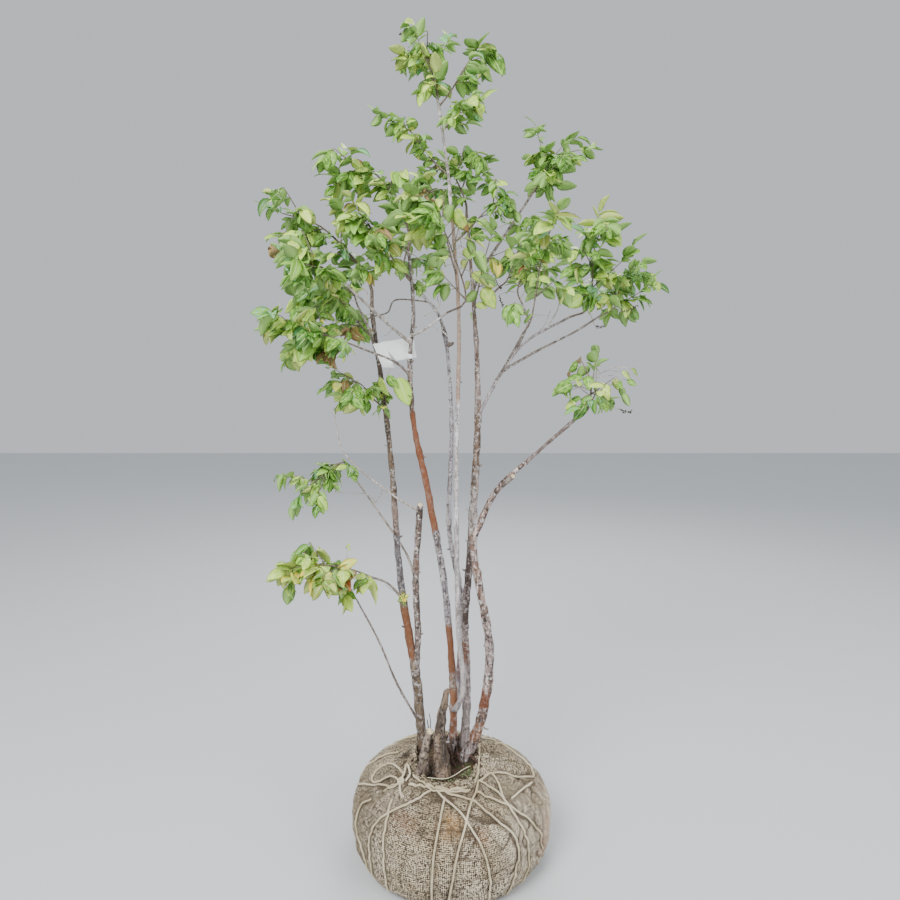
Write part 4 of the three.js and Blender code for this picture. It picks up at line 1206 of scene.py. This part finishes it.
def allowed(points, mass, slack=0.0, clearance=None):
    points = np.atleast_2d(points)
    gaps, _ = lineGaps(points, massStarts, massSpans)
    ratios = gaps.reshape(len(points), len(crowd), -1).min(axis=2) / massReach
    order = massOrder[mass.name]
    own = ratios[:, order]
    others = np.delete(ratios, order, axis=1).min(axis=1)
    if (own >= 1 + slack).any() or (others <= own + growth["margin"] - slack).any():
        return False
    gaps, along = lineGaps(points, limbStarts, limbSpans)
    gaps, along = (part.reshape(len(points), len(limbs), Limb.parts) for part in (gaps, along))
    nearest = gaps.argmin(axis=2)
    near = np.take_along_axis(gaps, nearest[..., None], 2)[..., 0]
    share = (nearest + np.take_along_axis(along, nearest[..., None], 2)[..., 0]) / Limb.parts
    radii = np.stack([limb.radius(share[:, k]) for k, limb in enumerate(limbs.values())], axis=1)
    room = growth["clearance"] if clearance is None else clearance
    return bool((near > radii + room).all())


def growTwigs(mass):
    ahead, aside, rise = growth["branching"]
    twigs = [{"curve": mass.curve, "length": mass.length, "first": mass.first, "last": growth["mainEnd"]}]
    for index in range(mass.twigs):
        draw = seeded(mass.seed + 31 * index)
        share = growth["lowestTwig"] + growth["twigSpan"] * (index + 0.5) / mass.twigs
        foot = mass.curve.at(share)
        for attempt in range(growth["tries"]):
            axis = mass.curve.heading(share)
            side = sideways(axis, (index + 0.4 * attempt) * growth["goldenTurn"] + draw() * 0.7)
            heading = unit(axis * ahead + side * aside + up * rise)
            length = mass.reach * (0.85 - 0.25 * share) * (0.8 + 0.3 * draw())
            curve = Curve([foot, foot + heading * length])
            if allowed(curve.evenly(6)[1:], mass):
                twigs.append({"curve": curve, "length": length, "first": growth["sideStart"],
                              "last": growth["sideEnd"]})
                break
    for twig in twigs:
        twig["line"] = twig["curve"].evenly(round(twig["length"] / 8) + 1)
    return twigs


class Blade:  # the solids' leaf, which stands for a spray
    def __init__(self, root, heading, size, roll):
        self.root, self.heading = root, heading
        self.across = tilted(heading, roll)
        self.face = np.cross(heading, self.across)
        self.length, self.width = growth["bladeLength"] * size, growth["bladeWidth"] * size
        rim = [(along, 0) for along in (0.2, 0.4, 0.6, 0.8, 1)]
        for along, aside in ((0.25, 0.3), (growth["widest"], 0.5), (0.62, 0.32), (0.82, 0.15)):
            rim += [(along, aside), (along, -aside)]
        self.rim = np.array([self.spot(*place) for place in rim])

    def spot(self, along, aside):
        return self.root + self.heading * along * self.length + self.across * aside * self.width

    def holds(self, points):
        offset = points - self.root
        along = offset @ self.heading / self.length
        aside = np.abs(offset @ self.across) / (self.width / 2)
        widest = growth["widest"]
        outline = np.where(along < widest, along / widest, (1 - along) / (1 - widest))
        inside = (along > 0.12) & (along < 1.05) & (aside < outline + 0.25)
        return bool((inside & (np.abs(offset @ self.face) < growth["bladeRoom"])).any())


def bladeHeading(axis, order, last, draw):
    across = unit(np.cross(axis, up))
    hand = 1 if order % 2 else -1
    least, room = growth["spread"]
    spread = 0 if last else hand * (least + room * draw())
    steep, lift = growth["droop"]
    return unit(axis * growth["ahead"] + across * spread - up * (steep * draw() - lift))


def growBlades(twigs, mass):
    least, room, shrink = growth["sizes"]
    blades = []
    for place, twig in enumerate(twigs):
        twig["used"] = growth["leastUsed"]
        count = max(2, round(twig["length"] * (1 - twig["first"]) / growth["pitch"]) + 1)
        for order in range(count):
            draw = seeded(mass.seed + 131 * place + 17 * order)
            share = lerp(twig["first"], twig["last"], order / (count - 1))
            root = twig["curve"].at(share)
            for attempt in range(growth["tries"]):
                heading = bladeHeading(twig["curve"].heading(share), order, order == count - 1, draw)
                size = least + room * draw() - shrink * attempt
                blade = Blade(root, heading, size, (draw() - 0.5) * growth["roll"])
                free = not any(blade.holds(other["line"]) for other in twigs)
                free = free and not any(other.holds(blade.rim) or blade.holds(other.rim) for other in blades)
                if free and allowed(blade.rim, mass):
                    blades.append(blade)
                    twig["used"] = share
                    break
    return blades


# A real leaf: a thin closed blade, ovate with a drawn-out tip, folded along its midrib and arched

leaf = {
    "length": 43, "ratio": 0.64, "thickness": 0.35, "veined": 0.6,
    "ranges": [(0.1, 0.9), (0.05, 0.5), (0.0, 0.03), (0, 6), (0.85, 1.12)],  # arch, fold, wave, turn, breadth
    "curledFrom": 7, "curl": (1.7, 1.8), "browned": 0.04, "yellowBrowned": 0.25, "yellows": (4, 5, 7),
    "alongs": [0, 0.07, 0.2, 0.36, 0.55, 0.74, 0.9, 1], "widths": [0, 0.5, 0.88, 1, 0.93, 0.67, 0.28, 0],
    "topAsides": [-1, -0.52, -0.045, 0.045, 0.52, 1], "underAsides": [-1, 0, 1],
    "tops": ["4a7a30", "699c3a", "8bbb4a", "b0d65c", "cbe36a", "e2cf55", "8b963f", "a0804f", "b46e40",
             "7cb67c"],
    "unders": ["92ba62", "bfcf72", "a88e62"], "rib": "d6eaa6",
    "underOf": [0, 0, 0, 0, 1, 1, 0, 2, 2, 0],
    "veinOf": [1, 2, 1, 4, 3, 4, 2, 6, 7, 2],
}

palettes = {  # chances of each top tone
    "green": [2, 4, 4, 3, 1, 0.1, 0.6, 0.06, 0.02, 1.4],
    "lime": [0.6, 2, 4, 5, 3, 0.25, 0.4, 0.08, 0.02, 1],
    "olive": [1.5, 3, 3.6, 2.4, 1.2, 0.15, 1.8, 0.15, 0.03, 1],
    "turning": [1, 2, 3.4, 3.6, 3, 0.7, 1.2, 0.4, 0.08, 1.4],
    "shade": [3, 4, 3, 1.5, 0.6, 0.1, 1, 0.08, 0.02, 1.2],
    "bronze": [0.3, 1.5, 2, 2.5, 3.5, 1.4, 1.2, 2.0, 0.3, 0.3],
    # bright: paler tones for the top of the crown, painted light where the sky falls on it
    "bright": [0.25, 0.9, 2.6, 5.6, 3.0, 0.3, 0.4, 0.06, 0.02, 3.8],
}


def leafSide(bm, asides, side):  # one skin of the blade; the two meet along the edge
    alongs, widths = leaf["alongs"], leaf["widths"]
    rows, columns = len(alongs) - 1, len(asides) - 1
    grid = bmesh.ops.create_grid(bm, x_segments=columns, y_segments=rows, size=1)
    faces = {face for vert in grid["verts"] for face in vert.link_faces}
    for face in faces:
        middle = face.calc_center_median()
        face.material_index = int((middle.x + 1) / 2 * columns) + 10 * int((middle.y + 1) / 2 * rows)
        face.material_index += 100 if side < 0 else 0
    for vert in grid["verts"]:
        row, column = gridPlace(vert, rows, columns)
        aside = asides[column] * widths[row]
        vert.co = (alongs[row], aside, side * (1 - asides[column] ** 2) * (widths[row] > 0))
    if side < 0:
        bmesh.ops.reverse_faces(bm, faces=list(faces))


def leafTemplate():
    bm = bmesh.new()
    leafSide(bm, leaf["topAsides"], 1)
    leafSide(bm, leaf["underAsides"], -1)
    bmesh.ops.remove_doubles(bm, verts=bm.verts, dist=1e-5)
    bmesh.ops.dissolve_degenerate(bm, edges=bm.edges, dist=1e-6)
    bm.verts.index_update()
    shape = shapeOf(bm)
    tags = np.array([face.material_index for face in bm.faces])
    bm.free()
    return *shape, tags


leafPoints, leafFaces, leafTags = leafTemplate()
leafUnder = leafTags >= 100
leafColumn = leafTags % 100 % 10
leafRow = leafTags % 100 // 10


def addLeaf(pile, root, heading, length, roll, tint, draw):
    across = tilted(heading, roll)
    face = np.cross(heading, across)
    along, aside, lift = leafPoints.T
    arch, fold, wave, phase, breadth = (draw.uniform(low, high) for low, high in leaf["ranges"])
    if tint >= leaf["curledFrom"]:
        arch, fold = arch * leaf["curl"][0], fold * leaf["curl"][1]
    width = aside * length * leaf["ratio"] / 2 * breadth
    bend = arch * along
    forward = np.sin(bend) / arch * length
    drop = (1 - np.cos(bend)) / arch * length
    out = np.abs(width) * math.sin(fold) + lift * leaf["thickness"] / 2
    out = out + wave * length * np.sin(9 * along + phase) * aside ** 2
    normal = face[None] * np.cos(bend)[:, None] + heading[None] * np.sin(bend)[:, None]
    spots = root + heading * forward[:, None] - face * drop[:, None]
    spots = spots + across * (width * math.cos(fold))[:, None] + normal * out[:, None]
    tops = len(leaf["tops"])
    slots = np.where(leafUnder, tops + leaf["underOf"][tint], tint)
    if draw.random() < leaf["veined"]:  # paler between the side veins
        slots[((leafRow + np.abs(leafColumn - 2)) % 2 == 0) & ~leafUnder] = leaf["veinOf"][tint]
    slots[(leafColumn == 2) & ~leafUnder] = tops + len(leaf["unders"])
    chance = leaf["yellowBrowned"] if tint in leaf["yellows"] else leaf["browned"]
    if draw.random() < chance:  # browned towards the tip or one edge
        edge = leafRow >= draw.choice((5, 6)) if draw.random() < 0.6 else leafColumn == draw.choice((0, 4))
        slots[edge & ~leafUnder] = draw.choice((7, 7, 6, 5))
    pile.add(spots, leafFaces, slots.tolist())


def leafMaterials():
    tops = [plain("leafTop%d" % k, code, 0.42, Specular_IOR_Level=0.4) for k, code in enumerate(leaf["tops"])]
    unders = [plain("leafUnder%d" % k, code, 0.65) for k, code in enumerate(leaf["unders"])]
    return tops + unders + [plain("leafRib", leaf["rib"], 0.5)]


spray = {
    "twigShare": 0.5, "leaves": 7, "twigRadius": 0.8, "sides": 4, "lowest": 0.08, "tries": 3,
    "sag": (-3, 3), "endSpread": 0.2, "spread": (0.5, 1.4), "levels": 0.45, "level": (-0.4, 0.4),
    "droop": (0.2, 1.3), "steepest": 0.97, "sizes": (0.5, 1.35, 0.85), "slack": 0.1, "clearance": 2.5,
    "ownTone": 0.62, "roll": 0.9, "hanging": -0.45, "hangingRoll": 1.7,
    "sparse": {"right_low": 4, "left_tuft": 5, "inner": 5},  # masses with fewer leaves to a spray
    # limbs that the leaves leave bare to the front: share of the length from and to, room to each side
    "bareFronts": [("leader", 0.5, 0.845, 24), ("leader", 0.87, 0.93, 14), ("stem_right", 0.62, 0.9, 14),
                   ("bough_right", 0.1, 0.85, 22), ("bough_right_up", 0.2, 1.0, 16)],
}


def bareLines():
    lines = []
    for name, low, high, room in spray["bareFronts"]:
        spots = limbs[name].curve.at(np.linspace(low, high, 30))
        order = np.argsort(spots[:, 2])
        lines.append((spots[order], room))
    return lines


bare = bareLines()


def coversLimb(points):
    for line, room in bare:
        aside = np.abs(points[:, 0] - np.interp(points[:, 2], line[:, 2], line[:, 0]))
        before = points[:, 1] < np.interp(points[:, 2], line[:, 2], line[:, 1])
        level = (points[:, 2] > line[0, 2]) & (points[:, 2] < line[-1, 2])
        if (level & before & (aside < room)).any():
            return True
    return False


def growSpray(blade, mass, pile, twigPile, draw):
    # a fine twig along the solids' leaf, with leaves left and right and one at its end
    reach = blade.length * spray["twigShare"]
    sag = blade.face * draw.uniform(*spray["sag"])
    middle = blade.root + blade.heading * reach * 0.5 + sag
    line = Curve([blade.root, middle, blade.root + blade.heading * reach])
    twigPile.tube(line.evenly(3), [spray["twigRadius"] * share for share in (1, 0.8, 0.6)], spray["sides"], 1)
    weights = palettes[mass.palette]
    tint = draw.choices(range(len(weights)), weights)[0]
    grown = 0
    count = spray["sparse"].get(mass.name, spray["leaves"])
    for order in range(count):
        last = order == count - 1
        share = 1.0 if last else lerp(spray["lowest"], 0.9, order / (count - 1))
        hand = 1 if (order + int(blade.root[2])) % 2 else -1
        for _ in range(spray["tries"]):
            spread = spray["endSpread"] * draw.gauss(0, 1) if last else hand * draw.uniform(*spray["spread"])
            level = last or draw.random() < spray["levels"]
            droop = draw.uniform(*spray["level" if level else "droop"])
            heading = unit(blade.heading * 0.7 + blade.across * spread - up * droop)
            if abs(heading[2]) > spray["steepest"]:
                continue
            length = leaf["length"] * mass.size * draw.triangular(*spray["sizes"])
            root = line.at(share)
            tip = np.array([root + heading * length * 0.55, root + heading * length])
            if coversLimb(np.vstack((root + heading * length * 0.25, tip))):
                continue
            if allowed(tip, mass, spray["slack"], spray["clearance"]):
                same = draw.random() < spray["ownTone"]
                own = tint if same else draw.choices(range(len(weights)), weights)[0]
                most = spray["hangingRoll" if heading[2] < spray["hanging"] else "roll"]
                addLeaf(pile, root, heading, length, draw.uniform(-most, most), own, draw)
                grown += 1
                break
    return grown


def makeFoliage():
    twigPile = Pile()
    total = 0
    for region, group in masses.items():
        pile = Pile()
        for name in group:
            mass = crowd[name]
            draw = random.Random(mass.seed)
            twigs = growTwigs(mass)
            for blade in growBlades(twigs, mass):
                total += growSpray(blade, mass, pile, twigPile, draw)
            for twig in twigs:
                main = twig is twigs[0]
                shares = np.linspace(0, 1, 15 if main else 7)
                radii = lerp(mass.thick, 1.1, shares ** 0.7) if main else lerp(1.7, 0.8, shares)
                twigPile.tube(twig["curve"].at(shares * twig["used"]), radii, 7 if main else 5, 0)
        finish("leaves_" + region, pile, leafSkins, "leaf_green", *["foliage_" + name for name in group])
        print("leaves", region, len(pile.faces), "faces")
    skins = [grainy("oldTwig", "5f5148", "8d7d70", 260), grainy("youngTwig", "78733f", "9d9766", 260, 0.7)]
    finish("twigs", twigPile, skins, "grey_bark")
    print("leaves in all", total)


leafSkins = leafMaterials()
makeFoliage()


# Bare twigs, dried flower stalks, tufts and single leaves that hang in the open middle of the crown
details = {
    "seed": 71, "stalk": 0.75,
    "twigs": [  # radius, way points
        (1.6, [(-79, 20, 1526), (-47, 20, 1499), (-19, 20, 1475), (10, 14, 1447)]),
        (1.1, [(-47, 20, 1499), (-55, 18, 1526), (-53, 16, 1546)]),
        (1.5, [(17, -4, 1378), (-10, -20, 1368), (-28, -24, 1353), (-22, -26, 1337), (-35, -28, 1325),
               (-67, -30, 1309)]),
        (1.0, [(-51, 0, 1406), (-27, -6, 1378), (-21, -12, 1346), (-31, -22, 1328)]),
        (1.1, [(-106, -10, 1462), (-73, 10, 1446), (-52, 16, 1440)]),
        (1.0, [(-56, 40, 1488), (-79, 30, 1462), (-97, 4, 1450)]),
        (1.1, [(-150, -36, 1312), (-141, -30, 1296), (-133, -30, 1282), (-141, -28, 1272),
               (-148, -26, 1270)]),
        (1.0, [(-166, -64, 1326), (-191, -50, 1341), (-215, -44, 1345), (-231, -40, 1353)]),
        (0.9, [(-160, -60, 1318), (-190, -54, 1315), (-218, -50, 1322)]),
        (1.1, [(-184, -78, 1340), (-180, -70, 1361), (-194, -66, 1373), (-201, -64, 1388)]),
        (1.0, [(-52, -62, 1286), (-36, -60, 1289), (-26, -58, 1277)]),
        (1.5, [(57, 52, 1401), (87, 40, 1405), (108, 36, 1413), (122, 30, 1423)]),
        (1.4, [(42, 74, 1521), (84, 60, 1511), (113, 60, 1519), (138, 60, 1531)]),
        (1.3, [(300, -104, 1118), (316, -100, 1141), (317, -100, 1172), (318, -100, 1207)]),
        (1.0, [(316, -100, 1141), (303, -100, 1150), (290, -100, 1151)]),
        (1.1, [(316, -100, 1141), (342, -100, 1160), (368, -100, 1182), (394, -100, 1198)]),
        (1.0, [(300, -104, 1142), (278, -104, 1156), (240, -104, 1158)]),
        (1.0, [(292, -102, 1110), (316, -100, 1122), (340, -100, 1116), (367, -100, 1108)]),
        (1.6, [(168, 30, 1340), (164, 28, 1352), (171, 26, 1372)]),
        (1.0, [(178, 30, 1305), (204, 30, 1317), (229, 30, 1317)]),
        (1.5, [(228, 14, 1294), (246, 18, 1326), (254, 20, 1352)]),
        (1.2, [(204, 22, 1276), (222, 20, 1300), (232, 18, 1330)]),
        (1.2, [(-183, 64, 868), (-204, 60, 889), (-272, 58, 892)]),
        (1.1, [(-187, 72, 862), (-172, 70, 882), (-164, 68, 900)]),
        (1.0, [(-119, 40, 640), (-140, 36, 652), (-160, 34, 668)]),
    ],
    "racemes": [  # dark dried fruit stalks: start and end
        ((321, -50, 1290), (343, -50, 1291)), ((380, -50, 1321), (415, -50, 1336)),
        ((369, -100, 1110), (396, -100, 1104)), ((-204, 20, 1146), (-192, 20, 1141)),
        ((-87, 0, 1922), (-109, 0, 1916)), ((104, 20, 1398), (118, 16, 1376)),
        ((113, 20, 1362), (122, 18, 1338)), ((140, 10, 1450), (163, 8, 1462)),
        ((-60, 0, 1600), (-42, -6, 1586)),
    ],
    "tufts": [  # middle, spread, leaves, leaf length, tone
        ((-113, 26, 636), 7, 22, 13, 5), ((-113, 26, 630), 7, 12, 12, 6), ((-71, -12, 1378), 10, 20, 19, 2),
        ((-71, -12, 1372), 8, 10, 16, 4), ((408, 16, 1404), 14, 26, 17, 0), ((424, 14, 1404), 10, 16, 15, 9),
        ((-157, 8, 1144), 10, 9, 27, 2), ((-152, 6, 1130), 10, 9, 27, 6), ((-134, -12, 1440), 8, 7, 24, 3),
        ((-250, 20, 768), 3, 4, 14, 3), ((-66, 4, 1590), 12, 22, 15, 1), ((-56, 2, 1580), 10, 14, 14, 7),
    ],
    "leaves": [  # root, tip, tone
        ((-118, -32, 1176), (-92, -38, 1110), 3), ((-160, -22, 1176), (-150, -32, 1128), 3),
        ((-142, -34, 1180), (-118, -44, 1150), 2), ((-183, -32, 1408), (-178, -34, 1380), 5),
        ((-174, -28, 1402), (-169, -30, 1377), 7), ((-42, -34, 1436), (-39, -44, 1400), 7),
        ((242, -104, 1156), (215, -110, 1140), 0), ((256, -106, 1156), (243, -112, 1128), 9),
        ((262, -106, 1152), (258, -112, 1118), 3), ((275, -104, 1158), (262, -110, 1166), 9),
        ((372, -100, 1190), (402, -100, 1178), 3), ((392, -100, 1198), (410, -98, 1182), 6),
        ((384, -100, 1172), (406, -104, 1162), 1), ((-22, -30, 1412), (-14, -38, 1393), 4),
        ((51, 26, 1413), (90, 12, 1386), 3), ((76, 20, 1380), (103, 8, 1330), 3),
        ((62, 26, 1372), (34, 14, 1343), 2), ((60, 28, 1342), (86, 18, 1333), 3),
        ((52, 30, 1324), (44, 20, 1298), 3), ((46, 26, 1394), (30, 16, 1374), 5),
        ((73, 56, 1513), (55, 46, 1506), 8), ((38, 20, 1442), (24, 8, 1418), 4),
        ((33, 8, 1466), (45, -2, 1440), 3), ((-372, -40, 1462), (-412, -48, 1440), 7),
        ((12, -24, 1545), (34, -40, 1492), 4),
        ((8, -26, 1552), (-18, -40, 1510), 3), ((-62, -14, 1386), (-76, -22, 1352), 6),
    ],
}


def makeDetails():
    draw = random.Random(details["seed"])
    wood, leaves = Pile(), Pile()
    spots = [spot for limb in limbs.values() for spot in limb.curve.evenly(60)]
    spots += [spot for mass in crowd.values() for spot in mass.curve.at(np.linspace(0, 0.9, 20))]
    tree = treeOf(spots)

    def joinTo(spot):  # a hair-thin stalk from the nearest wood
        near = np.array(tree.find(Vector(spot))[0])
        sag = lerp(near, np.array(spot, float), 0.5) + up * np.linalg.norm(near - spot) * 0.12
        wood.tube(Curve([near, sag, spot]).evenly(7), np.full(7, details["stalk"]), 5, 0)

    for radius, way in details["twigs"]:
        steps = np.linspace(0, 1, 6 * len(way))
        spots = shaken(Curve(way).at(steps), 1.6, 14, (3.0, 8.0, 13.0))
        wood.tube(spots, lerp(radius, radius * 0.5, steps), 6, 0)
        joinTo(way[0])
    points, faces = pebbleShape()
    steps = np.linspace(0, 1, 8)[:, None]
    for start, end in details["racemes"]:
        joinTo(start)
        line = lerp(np.array(start, float), np.array(end, float), steps) - up * 3 * np.sin(math.pi * steps)
        wood.tube(line, np.full(8, 0.8), 5, 1)
        for spot in line[1:]:
            for side in (-1, 1):
                bead = points * draw.uniform(1.0, 1.9)
                offset = (draw.uniform(-1.5, 1.5), draw.uniform(-2, 2), side * draw.uniform(1.0, 3.4))
                wood.add(spot + np.array(offset) + bead, faces, [1] * len(faces))
    for middle, spread, count, length, tint in details["tufts"]:
        joinTo(middle)
        for _ in range(count):
            heading = unit(np.array([draw.gauss(0, 1), draw.gauss(0, 1), draw.gauss(0.2, 0.7)]))
            root = np.array(middle, float) + heading * spread * 0.4
            addLeaf(leaves, root, heading, length * draw.uniform(0.6, 1.2), draw.uniform(-2, 2), tint, draw)
    for root, tip, tint in details["leaves"]:
        root, way = np.array(root, float), np.array(tip, float) - root
        joinTo(root)
        roll = (math.pi / 2 if abs(way[2]) > abs(way[0]) else 0.9) + draw.uniform(-0.4, 0.4)
        addLeaf(leaves, root, unit(way), np.linalg.norm(way), roll, tint, draw)
    finish("looseLeaves", leaves, leafSkins, "leaf_green")
    skins = [barkMaterial("twig_bare"), grainy("driedFruit", "2c231c", "57483b", 400, 0.7)]
    finish("bareTwigs", wood, skins, "pale_bark")


makeDetails()
print("details added")


# Blank label: a bent card behind the centre stem, held by a narrow strap

label = {
    "share": 0.812, "thickness": 0.5, "strapHeight": 10, "strapRadius": 6.6, "cells": 8, "bow": 2.5,
    "panels": [  # corners: upper left, upper right, lower right, lower left
        [(-158, -17, 1255), (-84, -3, 1266), (-77, -2, 1221), (-122, -10, 1213)],
        [(-175, -21, 1251), (-149, -17, 1254), (-127, -13, 1197), (-154, -19, 1199)],
    ],
}


def labelPanel(bm, corners):
    upperLeft, upperRight, lowerRight, lowerLeft = (np.array(corner, float) for corner in corners)
    grid = bmesh.ops.create_grid(bm, x_segments=label["cells"], y_segments=label["cells"], size=1)
    for vert in grid["verts"]:
        across, rise = (vert.co.x + 1) / 2, (vert.co.y + 1) / 2
        spot = lerp(lerp(lowerLeft, lowerRight, across), lerp(upperLeft, upperRight, across), rise)
        bow = label["bow"] * math.sin(math.pi * across) * (0.4 + 0.6 * rise)
        vert.co = (spot - np.array((0, bow, 0))) * mm


def makeLabel():
    limb = limbs["stem_centre"]
    middle = limb.curve.at(label["share"])
    headings, sideOne, sideTwo = untwisted(np.array([middle, middle + limb.curve.heading(label["share"])]))
    bm = bmesh.new()
    for corners in label["panels"]:
        labelPanel(bm, corners)
    strap = bmesh.ops.create_grid(bm, x_segments=30, y_segments=3, size=1)
    for vert in strap["verts"]:
        turn = math.pi * vert.co.x
        spot = middle + label["strapRadius"] * (math.cos(turn) * sideOne[0] + math.sin(turn) * sideTwo[0])
        vert.co = (spot + headings[0] * vert.co.y * label["strapHeight"] / 2) * mm
    bmesh.ops.remove_doubles(bm, verts=bm.verts, dist=1e-6)
    bmesh.ops.recalc_face_normals(bm, faces=bm.faces)
    bmesh.ops.solidify(bm, geom=bm.faces[:], thickness=label["thickness"] * mm)
    bmesh.ops.recalc_face_normals(bm, faces=bm.faces)
    shader = Shader("blankCard")
    soiled = shader.noise(shader.place(), 70, 4)
    card = shader.mix(shader.span(soiled, 0.5, 0.8) * 0.4, "ffffff", "e4eaea")
    finish("blankLabel", meshOf(bm, "label"), [shader.done(card, 0.5, soiled, strength=0.5)], "card", "label")


makeLabel()
print("label strapped")
